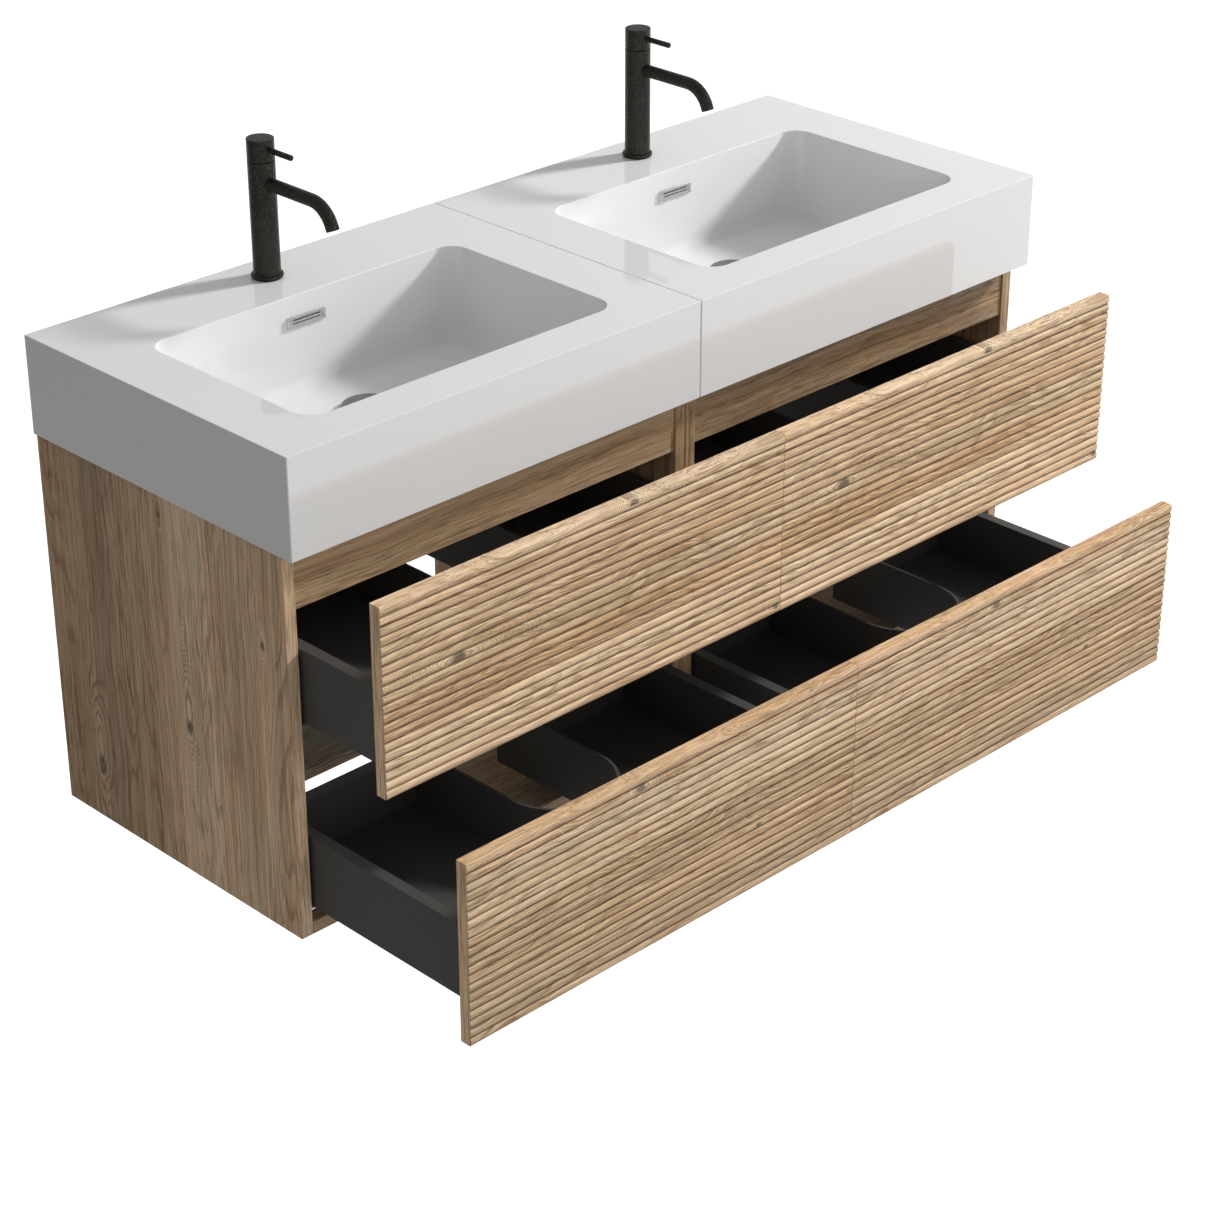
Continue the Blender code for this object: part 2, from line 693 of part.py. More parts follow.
def main():
    clear_scene()
    model, cutters = make_collections()
    kit = make_materials()
    for side, sign in (("left", -1), ("right", 1)):
        carcass(side, sign, kit, model, cutters)
        basin(side, sign, kit, model, cutters)
        overflow_cover(side, sign, kit, model, cutters)
        drain(side, sign, kit, model)
        waste_trap(side, sign, kit, model, cutters)
        tap(side, sign, kit, model, cutters)
        rows = (
            ("upper", UPPER_OPEN, UPPER_FRONT_DROP, UPPER_SIDE_DROP),
            ("lower", LOWER_OPEN, LOWER_FRONT_DROP, LOWER_SIDE_DROP),
        )
        for row, opened, front_drop, side_drop in rows:
            label = f"{side}_{row}"
            drawer(label + "_drawer", sign, opened, front_drop, side_drop, kit, model)
            runners(label + "_runner", sign, side_drop, kit, model)
    shade_round_pieces(model)


main()
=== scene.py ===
"""Looks for the double bathroom vanity: oak cabinets with fluted fronts, glazed basins, black-bronze taps.

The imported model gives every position. Pieces whose shape needs finer work are built again here around the
same boxes, and ride on the same bodies. The plain boards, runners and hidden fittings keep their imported
meshes.
"""
from math import cos, pi, radians, sin

import bmesh
import bpy
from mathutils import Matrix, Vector


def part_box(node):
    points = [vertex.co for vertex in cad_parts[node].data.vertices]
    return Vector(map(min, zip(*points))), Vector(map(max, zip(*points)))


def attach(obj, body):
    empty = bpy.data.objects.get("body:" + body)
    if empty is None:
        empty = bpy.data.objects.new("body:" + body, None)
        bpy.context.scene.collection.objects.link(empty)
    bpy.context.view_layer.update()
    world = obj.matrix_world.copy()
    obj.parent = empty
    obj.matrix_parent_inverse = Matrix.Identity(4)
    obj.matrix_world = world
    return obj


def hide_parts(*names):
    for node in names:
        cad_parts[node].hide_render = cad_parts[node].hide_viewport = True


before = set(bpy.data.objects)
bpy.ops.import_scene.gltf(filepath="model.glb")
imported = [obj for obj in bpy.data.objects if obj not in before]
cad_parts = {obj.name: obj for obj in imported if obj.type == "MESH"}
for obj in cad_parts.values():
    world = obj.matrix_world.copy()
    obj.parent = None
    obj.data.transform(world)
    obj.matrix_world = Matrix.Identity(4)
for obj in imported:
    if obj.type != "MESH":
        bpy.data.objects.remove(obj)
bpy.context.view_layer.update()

SIDES = ("left", "right")
ROWS = ("upper", "lower")

# All lengths are in metres.
GAP = 0.0003                      # clearance between pieces that touch
LATHE_STEPS = 72
SOFT_STEPS = 4                    # steps of a softened corner

# Fluted drawer fronts
RIB_COUNT = 20
GROOVE_DEPTH = 0.0035
RIB_STEPS = 14
RIB_FULLNESS = 0.72               # below 1 the ribs' crowns are flatter and the grooves narrower
PAINTED_SHADE_LOWER = 1                 # steps at the lower end of a rib that take the grooves' painted shade
PAINTED_SHADE_UPPER = 3                 # the same at its upper end
GROOVE_PAINTED_SHADE = 0.38               # how dark the painted shade in the grooves is
ARRIS = 0.0005                    # softened edge of a board

# Basins
BASIN_HEIGHT = 0.118
SKIRT = 0.012
DECK = 0.012
BOWL_WALL = 0.010
BOWL_WIDTH = 0.445
BOWL_BACK = 0.1175                # from the wall, as the next one
BOWL_FRONT = 0.394
BOWL_DEPTH = 0.112
BOWL_CORNER = 0.027
BOWL_FILLET = 0.012
RIM_ROUND = 0.0012
OUTER_ROUND = 0.0009
OUTER_CORNER = 0.0016
CORNER_STEPS = 12
ROUND_STEPS = 5
DRAIN_HOLE = 0.023
TAP_HOLE = 0.0165
HOLE_STEPS = 48

# Overflow covers: a frame round a sunk plate with two slots
COVER_LAP = (0.005, 0.0, 0.0025)  # how far the cover reaches past the hole behind it
HOLE_MARGIN = 0.003               # how far the cutting block stands out of the bowl's wall
COVER_BEVEL = 0.0007
COVER_FRAME = 0.0026
COVER_STEP = 0.0006               # width of the slope down to the sunk plate
COVER_SINK = 0.0012
COVER_SLOT = (0.0205, 0.0008)     # half length and half height
COVER_SLOT_DROP = 0.0020          # slots above and below the middle

# Wastes
THROAT_OUTER = 0.0215
THROAT_INNER = 0.0185
FLANGE_SHEET = 0.0022
FLANGE_SLOPE = 0.0030
PLUG_RIM = 0.0024
PLUG_CROWN = 0.0050
PLUG_STEM = 0.006
DOME_STEPS = 10

# Drawer back with its bent surround
CUTOUT_INNER = 0.067              # half its width and the radius of its bend
SURROUND = 0.004
CUTOUT_LENGTH = 0.2393            # from the rear face to the crown of the bend
BACK_THICK = 0.016
ARC_STEPS = 48

# Tap
PIPE_STEPS = 40
TAP_RADIUS = 0.016
TAP_SHANK = 0.014
FOOT_BEAD = 0.0026
FOOT_BEAD_HEIGHT = 0.0030
FOOT_TOP = 0.0052
FOOT_FLARE = (0.0007, 0.0015)     # width and height of the curve from the foot into the column
FOOT_UNDERCUT = 0.0012
CAP_HOLLOW = 0.013
CAP_ROOF = 0.009
SPOUT_RADIUS = 0.0078
SPOUT_BORE = 0.0060
SPOUT_STRAIGHT = 0.0868
SPOUT_BEND = 0.036
SPOUT_ANGLE = radians(68)
SPOUT_END = 0.0050
SPOUT_ROOT = 0.0012               # how far the spout reaches into the column
SPOUT_LIP = 0.0005
SPOUT_MOUTH = 0.0038
AERATOR = (                       # depth in the mouth and radius
    (0.0036, 0.0055), (0.0014, 0.0055), (0.0010, 0.0050), (0.0010, 0.0024), (0.0016, 0.0022),
)
PIN_RADIUS = 0.0034
PIN_HEIGHT = 0.1550               # over the basin's top
PIN_ROOT = 0.0145                 # from the tap's axis
PIN_TIP = ((0.0012, 0.0), (0.0005, 0.0002), (0.0001, 0.0006), (0.0, 0.0012))  # setback and loss of radius

# Oak tones, as display values
OAK_COLOURS = {
    "Light": (230, 204, 172), "Middle": (206, 177, 144), "Dark": (160, 130, 99), "Heartwood": (104, 80, 57),
}

# Knots are (place along the grain, place across it, size, lean) and flecks are (place along, place across,
# length, width). On the end panel they count up from its foot and forward from the wall, on the fronts from
# the lower left corner.
END_KNOTS = (
    (0.072, -0.073, 0.010, 0.030), (0.194, -0.250, 0.008, 0.022),
    (0.350, -0.389, 0.005, 0.0), (0.445, -0.220, 0.004, 0.0),
)
END_FLECKS = ((0.335, -0.337, 0.050, 0.014),)
END_FADE = (-0.05, -0.40, (0.90, 0.85, 0.80, 1.0), (1.46, 1.48, 1.52, 1.0))  # rear and front place, and tones: darker towards the wall, lighter towards the front
FRONT_STAVE = 0.068
FRONT_GRAIN = {                   # seed, shade, knots and flecks of each row
    "upper": (
        1.0, 1.36, ((0.103, 0.128, 0.009, 0.0), (0.358, 0.219, 0.006, 0.0), (0.588, 0.010, 0.005, 0.0)),
        ((0.175, 0.142, 0.075, 0.013), (0.420, 0.214, 0.060, 0.010)),
    ),
    "lower": (
        2.0, 1.20, ((0.248, 0.209, 0.006, 0.0), (0.435, 0.082, 0.004, 0.0), (0.415, 0.123, 0.004, 0.0)),
        ((0.285, 0.205, 0.045, 0.009), (0.425, 0.100, 0.040, 0.012)),
    ),
}
# the left top rail is painted lighter and the right one darker: painted light and painted shade
RAIL_LIGHT_AND_SHADE = {"left": 1.15, "right": 0.84}

# Studio
FLOOR_HEIGHT = -1.35
FLOOR_REACH = 14.0
MIDDLE = Vector((0.0, -0.25, 0.0))
TOWARD_KEY = Vector((0.838, -0.272, 0.473))
SOFTBOXES = {                     # place, size, power and colour, all aimed at the middle
    "key_softbox": (MIDDLE + 7.0 * TOWARD_KEY, (0.8, 0.8), 465.0, (1.0, 0.99, 0.975)),
    "sheen_softbox": (MIDDLE + 4.0 * TOWARD_KEY, (0.8, 0.8), 15.0, (1.0, 0.99, 0.975)),
    "front_softbox": (Vector((0.2, -4.0, 0.8)), (2.6, 1.8), 27.0, (1.0, 1.0, 1.0)),
    "rear_softbox": (Vector((2.9, 3.0, 2.0)), (3.6, 2.6), 6.0, (1.0, 1.0, 1.0)),
}

# Camera
EYE = Vector((-2.2786, -2.6095, 1.4189))
AZIMUTH = radians(44.62)
DIP = radians(27.59)
FOCAL = 88.71
SENSOR = 36.0


# ---------------------------------------------------------------- shader helpers

class Sketch:
    """Adds nodes to one tree in a left-to-right flow and joins their sockets."""

    def __init__(self, tree):
        self.tree = tree
        self.column = 0

    def node(self, kind, **settings):
        item = self.tree.nodes.new(kind)
        self.column += 1
        item.location = (180 * self.column, -60 * (self.column % 5))
        for key, value in settings.items():
            setattr(item, key, value)
        return item

    def join(self, source, target):
        self.tree.links.new(source, target)

    def feed(self, socket, value):
        if isinstance(value, bpy.types.NodeSocket):
            self.join(value, socket)
        elif value is not None:
            socket.default_value = value

    def math(self, operation, first, second=None, clamp=False):
        item = self.node("ShaderNodeMath", operation=operation, use_clamp=clamp)
        self.feed(item.inputs[0], first)
        self.feed(item.inputs[1], second)
        return item.outputs[0]

    def vector(self, operation, first, second=None):
        item = self.node("ShaderNodeVectorMath", operation=operation)
        self.feed(item.inputs[0], first)
        self.feed(item.inputs[1], second)
        return item.outputs["Value" if operation == "LENGTH" else "Vector"]

    def split(self, vector):
        """The X, Y and Z of a vector."""
        item = self.node("ShaderNodeSeparateXYZ")
        self.join(vector, item.inputs[0])
        return item.outputs

    def noise(self, vector, scale, detail=2.0, roughness=0.5):
        item = self.node("ShaderNodeTexNoise")
        self.feed(item.inputs["Vector"], vector)
        self.feed(item.inputs["Scale"], scale)
        self.feed(item.inputs["Detail"], detail)
        self.feed(item.inputs["Roughness"], roughness)
        return item.outputs["Fac"]

    def span(self, value, low, high, to_low=0.0, to_high=1.0, smooth=False):
        kind = "SMOOTHSTEP" if smooth else "LINEAR"
        item = self.node("ShaderNodeMapRange", interpolation_type=kind, clamp=True)
        limits = {"From Min": low, "From Max": high, "To Min": to_low, "To Max": to_high}
        self.feed(item.inputs["Value"], value)
        for name, given in limits.items():
            self.feed(item.inputs[name], given)
        return item.outputs[0]

    def blend(self, factor, first, second, mode="MIX"):
        item = self.node("ShaderNodeMix", data_type="RGBA", blend_type=mode)
        self.feed(item.inputs[0], factor)
        self.feed(item.inputs[6], first)
        self.feed(item.inputs[7], second)
        return item.outputs[2]

    def group(self, tree, **inputs):
        item = self.node("ShaderNodeGroup", node_tree=tree)
        for name, value in inputs.items():
            self.feed(item.inputs[name.replace("_", " ")], value)
        return item


def linear(red, green, blue):
    """A colour given in 0-255 display values, as the linear values that shaders take."""
    def convert(value):
        value /= 255
        return value / 12.92 if value <= 0.04045 else ((value + 0.055) / 1.055) ** 2.4
    return (convert(red), convert(green), convert(blue), 1.0)


def new_group(name, inputs, outputs):
    """A shader node group with named sockets: the tree, its Sketch, its inputs and its output node."""
    tree = bpy.data.node_groups.new(name, "ShaderNodeTree")
    for label, kind, value in inputs:
        socket = tree.interface.new_socket(label, in_out="INPUT", socket_type="NodeSocket" + kind)
        if value is not None:
            socket.default_value = value
    for label, kind in outputs:
        tree.interface.new_socket(label, in_out="OUTPUT", socket_type="NodeSocket" + kind)
    sketch = Sketch(tree)
    entry = sketch.node("NodeGroupInput")
    return tree, sketch, entry.outputs, tree.nodes.new("NodeGroupOutput")


def new_material(name):
    surface = bpy.data.materials.new(name)
    surface.use_nodes = True
    tree = surface.node_tree
    shader = tree.nodes["Principled BSDF"]
    shader.location = (3600, 0)
    tree.nodes["Material Output"].location = (3900, 0)
    return surface, Sketch(tree), shader


def bump(sketch, shader, height, strength, distance):
    item = sketch.node("ShaderNodeBump")
    item.inputs["Strength"].default_value = strength
    item.inputs["Distance"].default_value = distance
    sketch.feed(item.inputs["Height"], height)
    sketch.join(item.outputs["Normal"], shader.inputs["Normal"])


# ---------------------------------------------------------------- shared effects

def knot_group():
    """One knot: how far the grain swells round it, how dark its heart is, and the growth rings it bends."""
    tree, s, given, out = new_group(
        "oak_knot",
        [
            ("Vector", "Vector", None), ("Centre", "Vector", None),
            ("Size", "Float", 0.01), ("Lean", "Float", 0.0),
        ],
        [("Swell", "Float"), ("Heart", "Float"), ("Reach", "Float")],
    )
    offset = s.vector("SUBTRACT", given["Vector"], given["Centre"])
    wobble = s.noise(s.vector("MULTIPLY", given["Vector"], (90, 240, 0)), 1.0, 3.0, 0.6)
    ripple = s.math("MULTIPLY", s.math("SUBTRACT", wobble, 0.5), 0.9)
    lean = s.node("ShaderNodeCombineXYZ")
    s.join(given["Lean"], lean.inputs[0])
    eye = s.vector("SUBTRACT", offset, lean.outputs[0])
    reach = s.math("DIVIDE", s.vector("LENGTH", s.vector("MULTIPLY", eye, (0.24, 1.0, 0.0))), given["Size"])
    reach = s.math("ADD", reach, s.math("MULTIPLY", ripple, 0.35))
    heart = s.vector("LENGTH", s.vector("MULTIPLY", offset, (0.55, 1.0, 0.0)))
    heart = s.math("ADD", s.math("DIVIDE", heart, given["Size"]), ripple)
    s.join(s.span(reach, 0.4, 3.8, 1.0, 0.0, smooth=True), out.inputs["Swell"])
    s.join(s.span(heart, 0.35, 0.95, 1.0, 0.0, smooth=True), out.inputs["Heart"])
    s.join(reach, out.inputs["Reach"])
    return tree


def fleck_group():
    """Short wavy marks across the grain, in one long oval patch."""
    tree, s, given, out = new_group(
        "oak_fleck",
        [
            ("Vector", "Vector", None), ("Centre", "Vector", None),
            ("Length", "Float", 0.08), ("Width", "Float", 0.012),
        ],
        [("Marks", "Float")],
    )
    offset = s.split(s.vector("SUBTRACT", given["Vector"], given["Centre"]))
    along = s.math("DIVIDE", offset[0], given["Length"])
    across = s.math("DIVIDE", offset[1], given["Width"])
    far = s.math("SQRT", s.math("ADD", s.math("POWER", along, 2.0), s.math("POWER", across, 2.0)))
    sway = s.noise(s.vector("MULTIPLY", given["Vector"], (26, 120, 0)), 1.0, 2.0)
    phase = s.math("ADD", s.math("DIVIDE", offset[0], 0.0052), s.math("MULTIPLY", sway, 9.0))
    line = s.math("PINGPONG", phase, 0.5)
    line = s.span(line, 0.06, 0.24, 1.0, 0.0, smooth=True)
    torn = s.span(s.noise(s.vector("MULTIPLY", given["Vector"], (150, 260, 0)), 1.0, 2.0), 0.40, 0.60)
    mask = s.math("MULTIPLY", s.span(far, 0.45, 1.0, 1.0, 0.0, smooth=True), torn)
    s.join(s.math("MULTIPLY", line, mask), out.inputs["Marks"])
    return tree


def oak_group():
    """Flat-sawn oak, grain along X and staves side by side along Y, in metres."""
    tree, s, given, out = new_group(
        "oak_laminate",
        [
            ("Vector", "Vector", None), ("Swell", "Float", 0.0), ("Reach", "Float", 0.0),
            ("Heart", "Float", 0.0), ("Marks", "Float", 0.0), ("Seed", "Float", 0.0),
            ("Stave Width", "Float", 0.08),
            ("Ring Spacing", "Float", 0.0062), ("Bend", "Float", 0.04), ("Figure", "Float", 1.0),
            ("Light", "Color", None), ("Middle", "Color", None),
            ("Dark", "Color", None), ("Heartwood", "Color", None),
        ],
        [("Color", "Color"), ("Height", "Float"), ("Pores", "Float")],
    )
    across = s.split(given["Vector"])[1]
    drift = s.noise(s.vector("MULTIPLY", given["Vector"], (2.2, 6.0, 6.0)), 1.0, 1.0)
    edge = s.math("ADD", across, s.math("MULTIPLY", s.math("SUBTRACT", drift, 0.5), 0.018))
    count = s.math("FLOOR", s.math("ADD", s.math("DIVIDE", edge, given["Stave Width"]), given["Seed"]))
    chance = s.node("ShaderNodeTexWhiteNoise", noise_dimensions="1D")
    s.join(count, chance.inputs["W"])
    stave = chance.outputs["Value"]
    tint = s.node("ShaderNodeSeparateColor")
    s.join(chance.outputs["Color"], tint.inputs[0])

    shift = s.node("ShaderNodeCombineXYZ")
    s.join(s.math("MULTIPLY", stave, 7.0), shift.inputs[0])
    s.join(s.math("ADD", s.math("MULTIPLY", tint.outputs[1], 3.0), given["Seed"]), shift.inputs[2])
    bend = s.noise(s.vector("MULTIPLY", given["Vector"], (7.0, 11.0, 11.0)), 1.0, 2.0, 0.4)
    s.join(s.math("MULTIPLY", s.math("SUBTRACT", bend, 0.5), given["Bend"]), shift.inputs[1])
    own = s.vector("ADD", given["Vector"], shift.outputs[0])

    slow = s.noise(s.vector("MULTIPLY", own, (1.8, 15.0, 9.0)), 1.0, 2.0, 0.45)
    quick = s.noise(s.vector("MULTIPLY", own, (14.0, 90.0, 60.0)), 1.0, 3.0, 0.55)
    field = s.math("ADD", s.math("MULTIPLY", slow, 0.13), s.math("MULTIPLY", s.split(own)[1], 0.55))
    field = s.math("ADD", field, s.math("MULTIPLY", quick, 0.006))
    eye = s.math("MULTIPLY", given["Reach"], 0.010)
    rings = s.node("ShaderNodeMix", data_type="FLOAT")
    s.join(given["Swell"], rings.inputs[0])
    s.join(field, rings.inputs[2])
    s.join(eye, rings.inputs[3])
    saw = s.math("FRACT", s.math("DIVIDE", rings.outputs[0], given["Ring Spacing"]))
    late = s.math("MULTIPLY", s.span(saw, 0.55, 0.93, smooth=True), s.span(saw, 1.0, 0.94))
    patch = s.noise(s.vector("MULTIPLY", own, (2.5, 30.0, 30.0)), 1.0, 2.0)
    soft = s.math("MULTIPLY", late, s.span(patch, 0.35, 0.65, 0.15, 1.0))

    fibre = s.noise(s.vector("MULTIPLY", own, (6.0, 600.0, 600.0)), 1.0, 3.0, 0.7)
    streak = s.noise(s.vector("MULTIPLY", own, (1.3, 170.0, 170.0)), 1.0, 3.0, 0.6)
    cloud = s.noise(s.vector("MULTIPLY", own, (2.4, 13.0, 13.0)), 1.0, 3.0, 0.5)
    dash = s.noise(s.vector("MULTIPLY", own, (30.0, 950.0, 950.0)), 1.0, 1.0, 0.4)
    crowd = s.noise(s.vector("MULTIPLY", own, (2.5, 60.0, 60.0)), 1.0, 2.0, 0.5)
    pores = s.math("MULTIPLY", s.span(dash, 0.52, 0.64), s.span(crowd, 0.36, 0.62, 0.20, 1.0))

    tone = s.math("MULTIPLY", s.math("SUBTRACT", streak, 0.5), 1.15)
    tone = s.math("ADD", tone, s.math("MULTIPLY", s.math("SUBTRACT", fibre, 0.5), 2.1))
    tone = s.math("ADD", tone, s.math("MULTIPLY", s.math("SUBTRACT", cloud, 0.5), 0.9))
    tone = s.math("ADD", tone, s.math("MULTIPLY", s.math("SUBTRACT", stave, 0.5), 0.30))
    figure = s.math("MULTIPLY", given["Figure"], 0.46)
    tone = s.math("ADD", tone, s.math("MULTIPLY", soft, figure))
    tone = s.math("ADD", tone, 0.36, clamp=True)
    colour = s.blend(s.span(tone, 0.0, 0.5), given["Light"], given["Middle"])
    colour = s.blend(s.span(tone, 0.45, 1.0), colour, given["Dark"])
    warm = s.blend(s.math("MULTIPLY", tint.outputs[2], 0.45), colour, (1.0, 0.915, 0.83, 1.0), "MULTIPLY")
    cool = s.blend(s.math("MULTIPLY", tint.outputs[0], 0.6), warm, (0.88, 0.935, 0.95, 1.0), "MULTIPLY")
    hue = s.noise(s.vector("MULTIPLY", own, (0.8, 26.0, 26.0)), 1.0, 2.0)
    cast = s.blend(s.span(hue, 0.36, 0.64), (1.04, 0.985, 0.94, 1.0), (0.95, 0.985, 1.01, 1.0))
    colour = s.blend(1.0, cool, cast, "MULTIPLY")
    colour = s.blend(s.math("MULTIPLY", pores, 0.66), colour, given["Heartwood"])
    halo = s.math("MULTIPLY", s.span(given["Reach"], 0.5, 1.9, 1.0, 0.0, smooth=True), 0.45)
    colour = s.blend(halo, colour, given["Light"])
    ridge = s.math("MULTIPLY", late, s.span(given["Swell"], 0.10, 0.75, 0.0, 0.62))
    colour = s.blend(ridge, colour, given["Heartwood"])
    colour = s.blend(s.math("MULTIPLY", given["Marks"], 0.62), colour, given["Heartwood"])
    core = s.math("MULTIPLY", given["Heart"], s.span(fibre, 0.35, 0.65, 0.55, 0.95))
    colour = s.blend(core, colour, linear(66, 56, 46))
    height = s.math("SUBTRACT", s.math("MULTIPLY", fibre, 0.5), s.math("MULTIPLY", pores, 0.8))
    s.join(colour, out.inputs["Color"])
    s.join(height, out.inputs["Height"])
    s.join(pores, out.inputs["Pores"])
    return tree


KNOT = knot_group()
FLECK = fleck_group()
OAK = oak_group()


# ---------------------------------------------------------------- materials

def oak(name, order, seed, stave, knots=(), flecks=(), shade=1.0, bend=0.042, figure=1.0, fade=None):
    """Light oak laminate. order names the object axes that run along the grain, across it and into the board.

    fade gives two places across the grain and the tones that the board's colour is blended between there.
    """
    surface, s, shader = new_material(name)
    place = s.node("ShaderNodeTexCoord").outputs["Object"]
    axes = s.split(place)
    turned_place = s.node("ShaderNodeCombineXYZ")
    for socket, axis in zip(turned_place.inputs, order):
        s.join(axes["XYZ".index(axis)], socket)
    grain = turned_place.outputs[0]
    swell, heart, reach, marks = 0.0, 0.0, 9.0, 0.0
    for x, y, size, lean in knots:
        knot = s.group(KNOT, Vector=grain, Centre=(x, y, 0.0), Size=size, Lean=lean)
        swell = s.math("MAXIMUM", swell, knot.outputs["Swell"])
        heart = s.math("MAXIMUM", heart, knot.outputs["Heart"])
        reach = s.math("MINIMUM", reach, knot.outputs["Reach"])
    for x, y, length, width in flecks:
        fleck = s.group(FLECK, Vector=grain, Centre=(x, y, 0.0), Length=length, Width=width)
        marks = s.math("MAXIMUM", marks, fleck.outputs["Marks"])
    wood = s.group(
        OAK, Vector=grain, Swell=swell, Heart=heart, Reach=reach, Marks=marks, Seed=seed, Stave_Width=stave,
        Bend=bend, Figure=figure,
    )
    for label, value in OAK_COLOURS.items():
        wood.inputs[label].default_value = [part * shade for part in linear(*value)[:3]] + [1.0]
    colour = wood.outputs["Color"]
    if fade:
        start, end, first, last = fade
        drift = s.span(s.split(grain)[1], start, end, smooth=True)
        colour = s.blend(1.0, colour, s.blend(drift, first, last), "MULTIPLY")
    s.join(colour, shader.inputs["Base Color"])
    s.join(s.span(wood.outputs["Pores"], 0.0, 1.0, 0.52, 0.75), shader.inputs["Roughness"])
    shader.inputs["Specular IOR Level"].default_value = 0.3
    bump(s, shader, wood.outputs["Height"], 0.45, 0.0006)
    return surface


def glaze():
    surface, s, shader = new_material("white_glaze")
    place = s.node("ShaderNodeTexCoord").outputs["Object"]
    cloud = s.noise(place, 6.0, 2.0)
    s.join(s.blend(cloud, linear(240, 240, 240), linear(243, 243, 243)), shader.inputs["Base Color"])
    shine = s.noise(place, 28.0, 3.0)
    s.join(s.span(shine, 0.3, 0.7, 0.04, 0.07), shader.inputs["Roughness"])
    shader.inputs["IOR"].default_value = 1.55
    shader.inputs["Coat Weight"].default_value = 0.15
    shader.inputs["Coat Roughness"].default_value = 0.03
    bump(s, shader, s.noise(place, 9.0, 1.0), 0.03, 0.0005)
    return surface


def anthracite():
    surface, s, shader = new_material("anthracite_laminate")
    place = s.node("ShaderNodeTexCoord").outputs["Object"]
    fine = s.noise(place, 1400.0, 2.0)
    cloud = s.noise(place, 9.0, 2.0)
    base = s.blend(fine, linear(82, 81, 79), linear(93, 92, 90))
    s.join(s.blend(s.math("MULTIPLY", cloud, 0.3), base, linear(78, 77, 75)), shader.inputs["Base Color"])
    s.join(s.span(fine, 0.3, 0.7, 0.42, 0.55), shader.inputs["Roughness"])
    shader.inputs["Specular IOR Level"].default_value = 0.22
    bump(s, shader, fine, 0.12, 0.0002)
    return surface


def black_bronze():
    surface, s, shader = new_material("black_bronze")
    place = s.node("ShaderNodeTexCoord").outputs["Object"]
    cells = s.node("ShaderNodeTexVoronoi", feature="SMOOTH_F1")
    s.join(s.vector("MULTIPLY", place, (1.0, 1.0, 0.7)), cells.inputs["Vector"])
    cells.inputs["Scale"].default_value = 520.0
    hammer = cells.outputs["Distance"]
    dents = s.noise(place, 620.0, 2.0)
    grit = s.noise(place, 1500.0, 2.0)
    base = s.blend(s.noise(place, 30.0, 1.0), linear(50, 49, 44), linear(60, 59, 53))
    flecks = s.span(s.noise(place, 560.0, 2.0, 0.6), 0.56, 0.64)
    s.join(s.blend(flecks, base, linear(72, 70, 64)), shader.inputs["Base Color"])
    s.join(s.span(flecks, 0.0, 1.0, 0.85, 0.50), shader.inputs["Metallic"])
    s.join(s.span(grit, 0.35, 0.65, 0.30, 0.42), shader.inputs["Roughness"])
    height = s.math("ADD", s.math("MULTIPLY", hammer, 0.9), s.math("MULTIPLY", dents, 0.6))
    bump(s, shader, height, 0.9, 0.0011)
    return surface


def bright_metal(name, low, high, metallic, roughness):
    surface, s, shader = new_material(name)
    place = s.node("ShaderNodeTexCoord").outputs["Object"]
    film = s.noise(place, 180.0, 3.0)
    s.join(s.blend(film, linear(low, low, low), linear(high, high, high)), shader.inputs["Base Color"])
    shader.inputs["Metallic"].default_value = metallic
    s.join(s.span(film, 0.3, 0.7, roughness * 0.8, roughness * 1.2), shader.inputs["Roughness"])
    return surface


def zinc():
    surface, s, shader = new_material("zinc_sheet")
    place = s.node("ShaderNodeTexCoord").outputs["Object"]
    spangle = s.node("ShaderNodeTexVoronoi", feature="F1")
    s.join(place, spangle.inputs["Vector"])
    spangle.inputs["Scale"].default_value = 160.0
    tone = s.node("ShaderNodeSeparateColor")
    s.join(spangle.outputs["Color"], tone.inputs[0])
    colour = s.blend(tone.outputs[0], linear(168, 172, 175), linear(196, 199, 201))
    s.join(colour, shader.inputs["Base Color"])
    shader.inputs["Metallic"].default_value = 1.0
    s.join(s.span(tone.outputs[1], 0.0, 1.0, 0.30, 0.42), shader.inputs["Roughness"])
    return surface


def grey_plastic():
    surface, s, shader = new_material("grey_plastic")
    place = s.node("ShaderNodeTexCoord").outputs["Object"]
    grain = s.noise(place, 1200.0, 2.0)
    s.join(s.blend(grain, linear(150, 151, 152), linear(160, 160, 161)), shader.inputs["Base Color"])
    s.join(s.span(grain, 0.3, 0.7, 0.38, 0.50), shader.inputs["Roughness"])
    bump(s, shader, grain, 0.15, 0.0002)
    return surface


# ---------------------------------------------------------------- mesh helpers

def finish_mesh(name, shape, surface, smooth_angle=35.0):
    bmesh.ops.recalc_face_normals(shape, faces=shape.faces)
    mesh = bpy.data.meshes.new(name)
    shape.to_mesh(mesh)
    shape.free()
    mesh.shade_smooth()
    mesh.set_sharp_from_angle(angle=radians(smooth_angle))
    mesh.materials.append(surface)
    item = bpy.data.objects.new(name, mesh)
    bpy.context.scene.collection.objects.link(item)
    return item


def ring(shape, points):
    return [shape.verts.new(point) for point in points]


def bridge(shape, first, second):
    """Quads between two rings of the same count."""
    count = len(first)
    for i in range(count):
        j = (i + 1) % count
        shape.faces.new((first[i], first[j], second[j], second[i]))


def loft(shape, rings):
    for first, second in zip(rings, rings[1:]):
        bridge(shape, first, second)


def fill_between(shape, rings):
    """One flat face region bounded by several rings, triangulated."""
    edges = []
    for loop in rings:
        for i, vert in enumerate(loop):
            other = loop[(i + 1) % len(loop)]
            edges.append(shape.edges.get((vert, other)) or shape.edges.new((vert, other)))
    bmesh.ops.triangle_fill(shape, use_beauty=True, edges=edges)


def circle(centre, radius, height, steps):
    return [
        (centre[0] + radius * cos(2 * pi * i / steps), centre[1] + radius * sin(2 * pi * i / steps), height)
        for i in range(steps)
    ]


